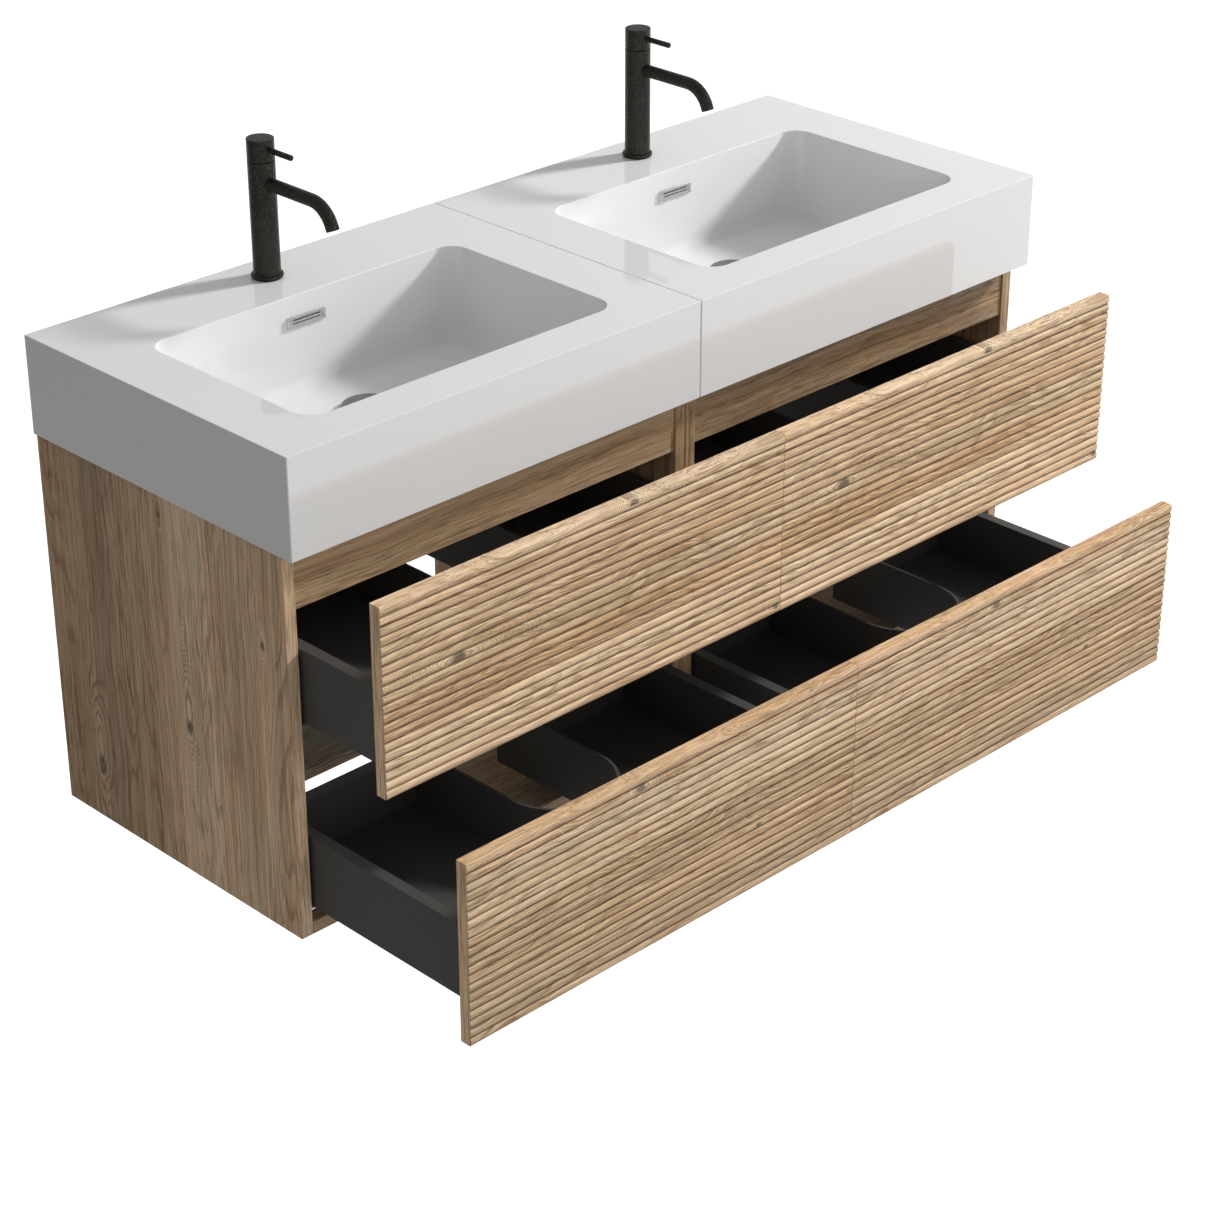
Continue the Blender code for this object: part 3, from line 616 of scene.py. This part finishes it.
def rounded_rectangle(low, high, corner, height, steps=CORNER_STEPS):
    """A rectangle with round corners in the XY plane, at one height."""
    centres = (
        (high[0] - corner, high[1] - corner, 0.0), (low[0] + corner, high[1] - corner, pi / 2),
        (low[0] + corner, low[1] + corner, pi), (high[0] - corner, low[1] + corner, 3 * pi / 2),
    )
    points = []
    for x, y, start in centres:
        for i in range(steps + 1):
            a = start + pi / 2 * i / steps
            points.append((x + corner * cos(a), y + corner * sin(a), height))
    return points


def turned(name, profile, centre, surface):
    """A solid of revolution about an upright axis. The profile runs from its top point to its bottom one."""
    shape = bmesh.new()
    rings = []
    for radius, height in profile:
        if radius < 1e-7:
            rings.append([shape.verts.new((centre[0], centre[1], centre[2] + height))])
        else:
            rings.append(ring(shape, circle(centre, radius, centre[2] + height, LATHE_STEPS)))
    for first, second in zip(rings, rings[1:]):
        if len(first) == 1 or len(second) == 1:
            tip, loop = (first[0], second) if len(first) == 1 else (second[0], first)
            for i in range(LATHE_STEPS):
                shape.faces.new((tip, loop[i], loop[(i + 1) % LATHE_STEPS]))
        else:
            bridge(shape, first, second)
    return finish_mesh(name, shape, surface)


def soften(points, radius):
    """Rounds the corners of a profile given as (radius, height) points, leaving its two ends."""
    result = [points[0]]
    for before, here, after in zip(points, points[1:], points[2:]):
        a, b, c = Vector(before), Vector(here), Vector(after)
        reach = min(radius, (a - b).length * 0.45, (c - b).length * 0.45)
        start, end = b + (a - b).normalized() * reach, b + (c - b).normalized() * reach
        for i in range(SOFT_STEPS + 1):
            t = i / SOFT_STEPS
            result.append(tuple(start * (1 - t) ** 2 + b * 2 * t * (1 - t) + end * t ** 2))
    result.append(points[-1])
    return result


def tube(shape, stations, steps=PIPE_STEPS):
    """A round tube, closed at both ends, through (point, direction, radius) stations at one x."""
    loops = []
    for point, direction, radius in stations:
        side = Vector((1, 0, 0))
        up = direction.cross(side).normalized()
        loops.append(ring(shape, [
            point + side * radius * cos(2 * pi * i / steps) + up * radius * sin(2 * pi * i / steps)
            for i in range(steps)
        ]))
    loft(shape, loops)
    for loop in (loops[0], loops[-1]):
        shape.faces.new(loop)


def extrude_outline(name, points, low, high, surface):
    """An upright solid over a flat XY outline, with softened edges."""
    shape = bmesh.new()
    bottom = ring(shape, [(x, y, low) for x, y in points])
    top = ring(shape, [(x, y, high) for x, y in points])
    bridge(shape, bottom, top)
    shape.faces.new(bottom)
    shape.faces.new(top)
    item = finish_mesh(name, shape, surface)
    bevel = item.modifiers.new("soft_edges", "BEVEL")
    bevel.width = ARRIS
    bevel.segments = 2
    bevel.limit_method = "ANGLE"
    bevel.angle_limit = radians(50)
    bevel.harden_normals = True
    return item


def cut_block(item, low, high):
    """Cuts a block between two corners out of a piece."""
    shape = bmesh.new()
    bmesh.ops.create_cube(shape, size=1.0)
    bmesh.ops.scale(shape, vec=high - low, verts=shape.verts)
    bmesh.ops.translate(shape, vec=(low + high) / 2, verts=shape.verts)
    mesh = bpy.data.meshes.new("block")
    shape.to_mesh(mesh)
    shape.free()
    block = bpy.data.objects.new("block", mesh)
    bpy.context.scene.collection.objects.link(block)
    hole = item.modifiers.new("hole", "BOOLEAN")
    hole.operation = "DIFFERENCE"
    hole.object = block
    view = bpy.context.evaluated_depsgraph_get()
    whole = item.data
    item.data = bpy.data.meshes.new_from_object(item.evaluated_get(view))
    item.modifiers.clear()
    bpy.data.objects.remove(block)
    bpy.data.meshes.remove(whole)


def stand_in(item, node, body):
    """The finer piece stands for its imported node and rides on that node's body."""
    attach(item, body)
    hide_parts(node)
    return item


# ---------------------------------------------------------------- pieces

def fluted_front(node, body, surface, painted_shade_grooves, light_painted_band):
    """A board whose face is milled into level ribs. Its own origin is its lower left rear corner."""
    low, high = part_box(node)
    size = high - low
    pitch = size.z / RIB_COUNT
    profile, painted_shade_steps = [], []
    for rib in range(RIB_COUNT):
        for step in range(RIB_STEPS):
            a = pi * step / RIB_STEPS
            crown = sin(a) ** RIB_FULLNESS
            # faces beside each groove take a darker copy of the oak: painted shade in the grooves
            painted_shade_steps.append(step < PAINTED_SHADE_LOWER or step >= RIB_STEPS - PAINTED_SHADE_UPPER)
            profile.append((-size.y + GROOVE_DEPTH * (1 - crown), (rib + (1 - cos(a)) / 2) * pitch))
    crest = len(profile)
    painted_shade_steps[crest - PAINTED_SHADE_UPPER:] = [False] * PAINTED_SHADE_UPPER
    profile += [(-size.y + GROOVE_DEPTH, size.z), (0.0, size.z), (0.0, 0.0)]
    painted_shade_steps += [False] * (len(profile) - crest)
    shape = bmesh.new()
    left, right = (ring(shape, [(x, y, z) for y, z in profile]) for x in (0.0, size.x))
    for i, dark in enumerate(painted_shade_steps):
        j = (i + 1) % len(profile)
        face = shape.faces.new((left[i], left[j], right[j], right[i]))
        face.material_index = int(dark)
    # the ends take the edge band, which is painted lighter
    for loop in (left, right):
        shape.faces.new(loop).material_index = 2
    item = finish_mesh(node + "_milled", shape, surface, smooth_angle=50.0)
    item.data.materials.append(painted_shade_grooves)
    item.data.materials.append(light_painted_band)
    item.location = (low.x, high.y, low.z)
    return stand_in(item, node, body)


def basin(side, surface):
    node = side + "_basin"
    low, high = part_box(node)
    middle = (low.x + high.x) / 2
    top, bottom = high.z, high.z - BASIN_HEIGHT
    floor = top - BOWL_DEPTH
    shape = bmesh.new()
    plan = (Vector((low.x, low.y)), Vector((high.x, high.y)))

    def inset(corners, by, corner, height):
        first, second = corners
        return rounded_rectangle(
            (first.x + by, first.y + by), (second.x - by, second.y - by), max(corner - by, 0.0004), height
        )

    # outside: lower edge, wall, rounded upper edge
    outer = [ring(shape, inset(plan, 0.0, OUTER_CORNER, bottom))]
    for i in range(ROUND_STEPS + 1):
        a = pi / 2 * i / ROUND_STEPS
        outer.append(ring(shape, inset(
            plan, OUTER_ROUND * (1 - cos(a)), OUTER_CORNER, top - OUTER_ROUND * (1 - sin(a))
        )))
    loft(shape, outer)

    # bowl: rounded rim, upright wall, fillet, floor
    half = BOWL_WIDTH / 2
    bowl_plan = (Vector((middle - half, -BOWL_FRONT)), Vector((middle + half, -BOWL_BACK)))
    bowl = []
    for i in range(ROUND_STEPS + 1):
        a = pi / 2 * i / ROUND_STEPS
        bowl.append(ring(shape, inset(
            bowl_plan, -RIM_ROUND * (1 - sin(a)), BOWL_CORNER, top - RIM_ROUND * (1 - cos(a))
        )))
    for i in range(ROUND_STEPS + 3):
        a = pi / 2 * i / (ROUND_STEPS + 2)
        bowl.append(ring(shape, inset(
            bowl_plan, BOWL_FILLET * (1 - cos(a)), BOWL_CORNER, floor + BOWL_FILLET * (1 - sin(a))
        )))
    loft(shape, bowl)
    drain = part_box(side + "_drain_plug")
    drain_xy = ((drain[0].x + drain[1].x) / 2, (drain[0].y + drain[1].y) / 2)
    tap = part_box(side + "_tap_body")
    tap_xy = ((tap[0].x + tap[1].x) / 2, (tap[0].y + tap[1].y) / 2)

    # underside: skirt, hollow, deck and the bowl's outer shell
    hollow_plan = (plan[0] + Vector((SKIRT, SKIRT)), plan[1] - Vector((SKIRT, SKIRT)))
    hollow = [ring(shape, inset(hollow_plan, 0.0, OUTER_CORNER, z)) for z in (bottom, top - DECK)]
    bridge(shape, outer[0], hollow[0])
    loft(shape, hollow)
    wall = Vector((BOWL_WALL, BOWL_WALL))
    shell_plan = (bowl_plan[0] - wall, bowl_plan[1] + wall)
    shell_corner = BOWL_CORNER + BOWL_WALL
    shell = [ring(shape, inset(shell_plan, 0.0, shell_corner, top - DECK))]
    base = low.z
    for i in range(ROUND_STEPS + 1):
        a = pi / 2 * i / ROUND_STEPS
        shell.append(ring(shape, inset(
            shell_plan, BOWL_FILLET * (1 - cos(a)), shell_corner, base + BOWL_FILLET * (1 - sin(a))
        )))
    loft(shape, shell)

    drain_rings = [ring(shape, circle(drain_xy, DRAIN_HOLE, z, HOLE_STEPS)) for z in (floor, base)]
    loft(shape, drain_rings)
    tap_rings = [ring(shape, circle(tap_xy, TAP_HOLE, z, HOLE_STEPS)) for z in (top, top - DECK)]
    loft(shape, tap_rings)
    fill_between(shape, [outer[-1], bowl[0], tap_rings[0]])
    fill_between(shape, [bowl[-1], drain_rings[0]])
    fill_between(shape, [hollow[1], shell[0], tap_rings[1]])
    fill_between(shape, [shell[-1], drain_rings[1]])
    item = finish_mesh(node + "_glazed", shape, surface, smooth_angle=40.0)
    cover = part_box(side + "_overflow_cover")
    lap = Vector(COVER_LAP)
    hole_low = Vector((cover[0].x, -BOWL_BACK - HOLE_MARGIN, cover[0].z)) + lap
    hole_high = Vector((cover[1].x, -BOWL_BACK + BOWL_WALL + HOLE_MARGIN, cover[1].z)) - lap
    cut_block(item, hole_low, hole_high)
    flat = item.modifiers.new("flat_faces", "WEIGHTED_NORMAL")
    flat.keep_sharp = True
    flat.weight = 100
    return stand_in(item, node, "cabinet")


def overflow_cover(side, surface):
    """A raised frame round a sunk plate with two level slots."""
    node = side + "_overflow_cover"
    low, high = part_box(node)
    middle, centre_z = (low.x + high.x) / 2, (low.z + high.z) / 2
    half = Vector(((high.x - low.x) / 2, (high.z - low.z) / 2))
    back, front = high.y, low.y
    shape = bmesh.new()

    def plate(by, corner, y, size=half, drop=0.0):
        points = rounded_rectangle((-size.x + by, -size.y + by), (size.x - by, size.y - by), corner, 0.0, 5)
        return ring(shape, [(middle + x, y, centre_z + drop + z) for x, z, _ in points])

    frame_loops = [
        plate(0.0, 0.0016, back), plate(0.0, 0.0016, front + COVER_BEVEL), plate(COVER_BEVEL, 0.0012, front),
        plate(COVER_FRAME, 0.0008, front), plate(COVER_FRAME + COVER_STEP, 0.0006, front + COVER_SINK),
    ]
    loft(shape, frame_loops)
    slot = Vector(COVER_SLOT)
    ends = (front + COVER_SINK, back)
    slots = [
        [plate(0.0, 0.0010, y, slot, drop) for y in ends] for drop in (-COVER_SLOT_DROP, COVER_SLOT_DROP)
    ]
    for walls in slots:
        loft(shape, walls)
    fill_between(shape, [frame_loops[-1]] + [walls[0] for walls in slots])
    fill_between(shape, [frame_loops[0]] + [walls[-1] for walls in slots])
    item = finish_mesh(node + "_frame", shape, surface, smooth_angle=30.0)
    return stand_in(item, node, "cabinet")


def drain(side, surface):
    flange_node, plug_node = side + "_drain_flange", side + "_drain_plug"
    low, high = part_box(flange_node)
    centre = ((low.x + high.x) / 2, (low.y + high.y) / 2, 0.0)
    rim = high.z
    seat = rim - FLANGE_SHEET
    outer = (high.x - low.x) / 2
    profile = soften([
        (THROAT_INNER, low.z), (THROAT_INNER, rim - FLANGE_SHEET / 2), (THROAT_INNER + FLANGE_SHEET, rim),
        (outer - FLANGE_SLOPE, rim), (outer, seat + 0.0004), (outer, seat), (THROAT_OUTER, seat),
        (THROAT_OUTER, low.z),
    ], 0.0005)
    shape = bmesh.new()
    loops = [ring(shape, circle(centre, r, z, LATHE_STEPS)) for r, z in profile]
    loft(shape, loops + [loops[0]])
    flange = finish_mesh(flange_node + "_turned", shape, surface)
    stand_in(flange, flange_node, "cabinet")

    low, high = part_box(plug_node)
    radius = (high.x - low.x) / 2
    lower = high.z - PLUG_CROWN - PLUG_RIM
    dome = [
        (radius * sin(a), lower + PLUG_RIM + PLUG_CROWN * cos(a))
        for a in [pi / 2 * i / DOME_STEPS for i in range(DOME_STEPS)]
    ]
    profile = dome + soften([
        (radius, lower + PLUG_RIM), (radius, lower), (PLUG_STEM, lower), (PLUG_STEM, low.z), (0.0, low.z),
    ], 0.0005)
    plug = turned(plug_node + "_domed", profile, centre, surface)
    stand_in(plug, plug_node, side + "_pop_up_plug")


def tap(side, black, aerator):
    """The column on its beaded foot, the bent spout with its aerator, and the tilting cap with its pin."""
    low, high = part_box(side + "_tap_body")
    centre = Vector(((low.x + high.x) / 2, (low.y + high.y) / 2, high.z))
    flange_radius = (high.x - low.x) / 2
    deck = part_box(side + "_basin")[1].z
    seat = deck + GAP - high.z
    flare_width, flare_height = FOOT_FLARE
    profile = [(0.0, 0.0)] + soften([
        (0.010, 0.0), (TAP_RADIUS, 0.0), (TAP_RADIUS, seat + FOOT_TOP + flare_height),
        (TAP_RADIUS + flare_width, seat + FOOT_TOP),
    ], 0.0005)[1:]
    profile += [
        (flange_radius - FOOT_BEAD + FOOT_BEAD * cos(a), seat + FOOT_BEAD_HEIGHT + FOOT_BEAD * sin(a))
        for a in [pi / 2 - pi * i / 10 for i in range(10)]
    ]
    profile += soften([
        (flange_radius - FOOT_UNDERCUT, seat), (TAP_SHANK, seat), (TAP_SHANK, low.z - high.z),
        (0.0, low.z - high.z),
    ], 0.0006)
    body = turned(side + "_tap_column", profile, centre, black)
    stand_in(body, side + "_tap_body", "cabinet")

    out = Vector((0, -1, 0))
    start = Vector((centre.x, centre.y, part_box(side + "_tap_spout")[1].z - SPOUT_RADIUS))
    stations = [(start + out * (TAP_RADIUS - SPOUT_ROOT), out, SPOUT_RADIUS)]
    for i in range(7):
        reach = TAP_RADIUS + (SPOUT_STRAIGHT - TAP_RADIUS) * i / 6
        stations.append((start + out * reach, out, SPOUT_RADIUS))
    for i in range(1, 17):
        a = SPOUT_ANGLE * i / 16
        stations.append((
            start + Vector((0, -SPOUT_STRAIGHT - SPOUT_BEND * sin(a), -SPOUT_BEND * (1 - cos(a)))),
            Vector((0, -cos(a), -sin(a))), SPOUT_RADIUS,
        ))
    point, direction, _ = stations[-1]
    tip = point + direction * SPOUT_END
    stations += [
        (tip - direction * SPOUT_LIP, direction, SPOUT_RADIUS), (tip, direction, SPOUT_RADIUS - SPOUT_LIP),
        (tip, direction, SPOUT_BORE + 0.0004), (tip - direction * 0.0004, direction, SPOUT_BORE),
        (tip - direction * SPOUT_MOUTH, direction, SPOUT_BORE),
    ]
    shape = bmesh.new()
    tube(shape, stations)
    spout = finish_mesh(side + "_tap_spout_tube", shape, black, smooth_angle=40.0)
    stand_in(spout, side + "_tap_spout", "cabinet")
    shape = bmesh.new()
    tube(shape, [(tip - direction * depth, direction, radius) for depth, radius in AERATOR], 24)
    insert = finish_mesh(side + "_tap_aerator", shape, aerator)
    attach(insert, "cabinet")

    low_l, high_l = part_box(side + "_tap_lever")
    cap_top, cap_bottom = high_l.z - high.z, low_l.z - high.z
    profile = [(0.0, cap_top)] + soften([
        (0.008, cap_top), (TAP_RADIUS, cap_top), (TAP_RADIUS, cap_bottom), (CAP_HOLLOW, cap_bottom),
        (CAP_HOLLOW, cap_top - CAP_ROOF), (0.004, cap_top - CAP_ROOF),
    ], 0.0009)[1:] + [(0.0, cap_top - CAP_ROOF)]
    cap = turned(side + "_tap_cap", profile, centre, black)
    stand_in(cap, side + "_tap_lever", side + "_mixer_lever")
    root = Vector((centre.x, centre.y - PIN_ROOT, deck + PIN_HEIGHT))
    end = Vector((centre.x, low_l.y, deck + PIN_HEIGHT))
    stations = [(root, out, PIN_RADIUS), ((root + end) / 2, out, PIN_RADIUS)]
    stations += [(end - out * setback, out, PIN_RADIUS - loss) for setback, loss in PIN_TIP]
    shape = bmesh.new()
    tube(shape, stations, 32)
    pin = finish_mesh(side + "_tap_lever_pin", shape, black)
    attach(pin, side + "_mixer_lever")


def arc(radius, start, end, steps, centre):
    angles = [start + (end - start) * i / steps for i in range(steps + 1)]
    return [(centre[0] + radius * cos(a), centre[1] + radius * sin(a)) for a in angles]


def drawer_back(label, surface):
    """Two back boards with the bent surround between them, in one outline."""
    node = label + "_back"
    low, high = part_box(node)
    middle, rear = (low.x + high.x) / 2, high.y
    half = (high.x - low.x) / 2
    outer = CUTOUT_INNER + SURROUND
    bend = rear - CUTOUT_LENGTH + CUTOUT_INNER
    inner = rear - BACK_THICK
    points = [(middle + half, rear), (middle + CUTOUT_INNER, rear)]
    points += arc(CUTOUT_INNER, 0, -pi, ARC_STEPS, (middle, bend))
    points += [
        (middle - CUTOUT_INNER, rear), (middle - half, rear), (middle - half, inner), (middle - outer, inner),
    ]
    points += arc(outer, -pi, 0, ARC_STEPS, (middle, bend))
    points += [(middle + outer, inner), (middle + half, inner)]
    item = extrude_outline(node + "_bent", points, low.z, high.z, surface)
    return stand_in(item, node, label)


def drawer_floor(label, surface):
    node = label + "_floor"
    low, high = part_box(node)
    back_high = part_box(label + "_back")[1]
    middle, half = (low.x + high.x) / 2, (high.x - low.x) / 2
    bend = back_high.y - CUTOUT_LENGTH + CUTOUT_INNER
    radius = CUTOUT_INNER + SURROUND + GAP
    points = [
        (middle - half, low.y), (middle + half, low.y), (middle + half, high.y), (middle + radius, high.y)
    ]
    points += arc(radius, 0, -pi, ARC_STEPS, (middle, bend))
    points += [(middle - radius, high.y), (middle - half, high.y)]
    item = extrude_outline(node + "_cut_out", points, low.z, high.z, surface)
    return stand_in(item, node, label)


def dress(node, surface, edge=None):
    """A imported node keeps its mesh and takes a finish, with another one on its front edge if given."""
    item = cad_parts[node]
    item.data.materials.clear()
    item.data.materials.append(surface)
    if edge:
        item.data.materials.append(edge)
        for face in item.data.polygons:
            face.material_index = int(face.normal.y < -0.9)


# ---------------------------------------------------------------- studio

def softbox(name, place, size, power, colour):
    light = bpy.data.lights.new(name, "AREA")
    light.shape = "RECTANGLE"
    light.size, light.size_y = size
    light.energy = power
    light.color = colour
    item = bpy.data.objects.new(name, light)
    bpy.context.scene.collection.objects.link(item)
    item.location = place
    item.rotation_euler = (MIDDLE - item.location).to_track_quat("-Z", "Y").to_euler()
    return item


def studio():
    scene = bpy.context.scene
    scene.view_settings.view_transform = "Standard"
    world = bpy.data.worlds.new("pale_room")
    scene.world = world
    world.use_nodes = True
    backdrop = world.node_tree.nodes["Background"]
    backdrop.inputs["Color"].default_value = (1.0, 1.0, 1.0, 1.0)
    backdrop.inputs["Strength"].default_value = 0.35

    shape = bmesh.new()
    bmesh.ops.create_grid(shape, x_segments=8, y_segments=8, size=FLOOR_REACH)
    surface, s, shader = new_material("pale_floor")
    place = s.node("ShaderNodeTexCoord").outputs["Object"]
    grey = s.blend(s.noise(place, 3.0), linear(142, 142, 142), linear(146, 146, 146))
    s.join(grey, shader.inputs["Base Color"])
    shader.inputs["Roughness"].default_value = 0.9
    shader.inputs["Specular IOR Level"].default_value = 0.1
    path = s.node("ShaderNodeLightPath")
    # to the camera the floor is evenly white; for reflections it glows, brighter towards +X: a painted
    # reflection
    gleam = s.span(s.split(place)[0], -1.8, 0.8, 0.12, 1.0, smooth=True)
    mirrored = s.math("MULTIPLY", path.outputs["Is Glossy Ray"], gleam)
    seen = s.math("MAXIMUM", path.outputs["Is Camera Ray"], mirrored)
    s.join(s.blend(seen, (0.0, 0.0, 0.0, 1.0), (1.0, 1.0, 1.0, 1.0)), shader.inputs["Emission Color"])
    shader.inputs["Emission Strength"].default_value = 1.0
    floor = finish_mesh("floor", shape, surface)
    floor.location = (0.0, 0.0, FLOOR_HEIGHT)

    lights = {name: softbox(name, *setting) for name, setting in SOFTBOXES.items()}
    # the weaker sheen softbox takes the key's part in reflections
    lights["key_softbox"].visible_glossy = False

    lens = bpy.data.cameras.new("camera")
    lens.lens = FOCAL
    lens.sensor_width = SENSOR
    lens.clip_start = 0.05
    lens.clip_end = 60.0
    camera = bpy.data.objects.new("camera", lens)
    scene.collection.objects.link(camera)
    camera.location = EYE
    camera.rotation_euler = (pi / 2 - DIP, 0.0, -AZIMUTH)
    scene.camera = camera


# ---------------------------------------------------------------- assembly

def make_finishes():
    end_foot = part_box("left_side_panel_l")[0].z
    end_knots = [(end_foot + along, *others) for along, *others in END_KNOTS]
    end_flecks = [(end_foot + along, *others) for along, *others in END_FLECKS]
    level = {"seed": 3.0, "stave": 0.11, "bend": 0.014, "figure": 0.5}
    finish = {
        "oak_level": oak("oak_level", "XZY", shade=0.95, **level),
        # oak painted very dark for the rear bottom boards: painted shade deep inside the cabinet
        "oak_painted_shade_inside": oak("oak_painted_shade_inside", "XZY", seed=7.0, stave=0.11, shade=0.34, bend=0.014, figure=0.8),
        "oak_upright": oak("oak_upright", "ZYX", seed=5.0, stave=0.09, bend=0.012, figure=0.6),
        # edge band oak painted much lighter than the boards: painted light on the front edges and the fronts'
        # ends
        "oak_painted_light_band": oak("oak_painted_light_edge_band", "ZYX", seed=11.0, stave=0.30, shade=1.6, bend=0.010, figure=0.4),
        "oak_end": oak(
            "oak_end_panel", "ZYX", seed=8.0, stave=0.075, bend=0.014, figure=1.0,
            knots=end_knots, flecks=end_flecks, fade=END_FADE,
        ),
    }
    # lit and shaded copies of the rail oak, one per side
    for side, shade in RAIL_LIGHT_AND_SHADE.items():
        finish["oak_rail_" + side] = oak(f"oak_{side}_rail", "XZY", shade=shade, **level)
    for row, (seed, shade, knots, flecks) in FRONT_GRAIN.items():
        detail = {"knots": knots, "flecks": flecks, "seed": seed, "stave": FRONT_STAVE}
        finish["oak_" + row] = oak(f"oak_{row}_front", "XZY", shade=shade, **detail)
        # a darker copy of each row's oak for the grooves: painted shade
        finish["groove_" + row] = oak(f"oak_{row}_groove", "XZY", shade=shade * GROOVE_PAINTED_SHADE, **detail)
    return finish | {
        "glaze": glaze(), "anthracite": anthracite(), "black": black_bronze(),
        "cover": bright_metal("satin_chrome", 205, 222, 0.45, 0.25),
        # the waste's chrome is a much darker grey than the cover's: painted shade for the bowl's shadow it
        # sits in
        "waste": bright_metal("chrome_painted_shade", 116, 128, 0.6, 0.30),
        "zinc": zinc(), "plastic": grey_plastic(),
    }


def dress_cabinets(finish):
    for side in SIDES:
        for board in ("bottom_board_front", "back_rail"):
            dress(f"{side}_{board}", finish["oak_level"])
        dress(side + "_top_rail", finish["oak_rail_" + side])
        # the rear bottom board takes the oak with painted shade
        dress(side + "_bottom_board_rear", finish["oak_painted_shade_inside"])
        dress(side + "_wall_bracket", finish["zinc"])
        dress(side + "_waste_trap", finish["plastic"])
        dress(side + "_tap_cartridge", finish["plastic"])
        for board in ("side_panel_l", "side_panel_r"):
            dress(f"{side}_{board}", finish["oak_upright"])
        for row in ROWS:
            for edge in "lr":
                dress(f"{side}_{row}_runner_{edge}", finish["zinc"])
                dress(f"{side}_{row}_drawer_side_{edge}", finish["anthracite"])
    # the end panel's front edge takes the edge band, painted lighter
    dress("left_side_panel_l", finish["oak_end"], finish["oak_painted_light_band"])


def main():
    finish = make_finishes()
    dress_cabinets(finish)
    for side in SIDES:
        basin(side, finish["glaze"])
        overflow_cover(side, finish["cover"])
        drain(side, finish["waste"])
        tap(side, finish["black"], finish["plastic"])
        for row in ROWS:
            label = f"{side}_{row}_drawer"
            wood = (finish["oak_" + row], finish["groove_" + row], finish["oak_painted_light_band"])
            fluted_front(label + "_front", label, *wood)
            drawer_back(label, finish["anthracite"])
            drawer_floor(label, finish["anthracite"])
    studio()


main()
bpy.context.view_layer.update()
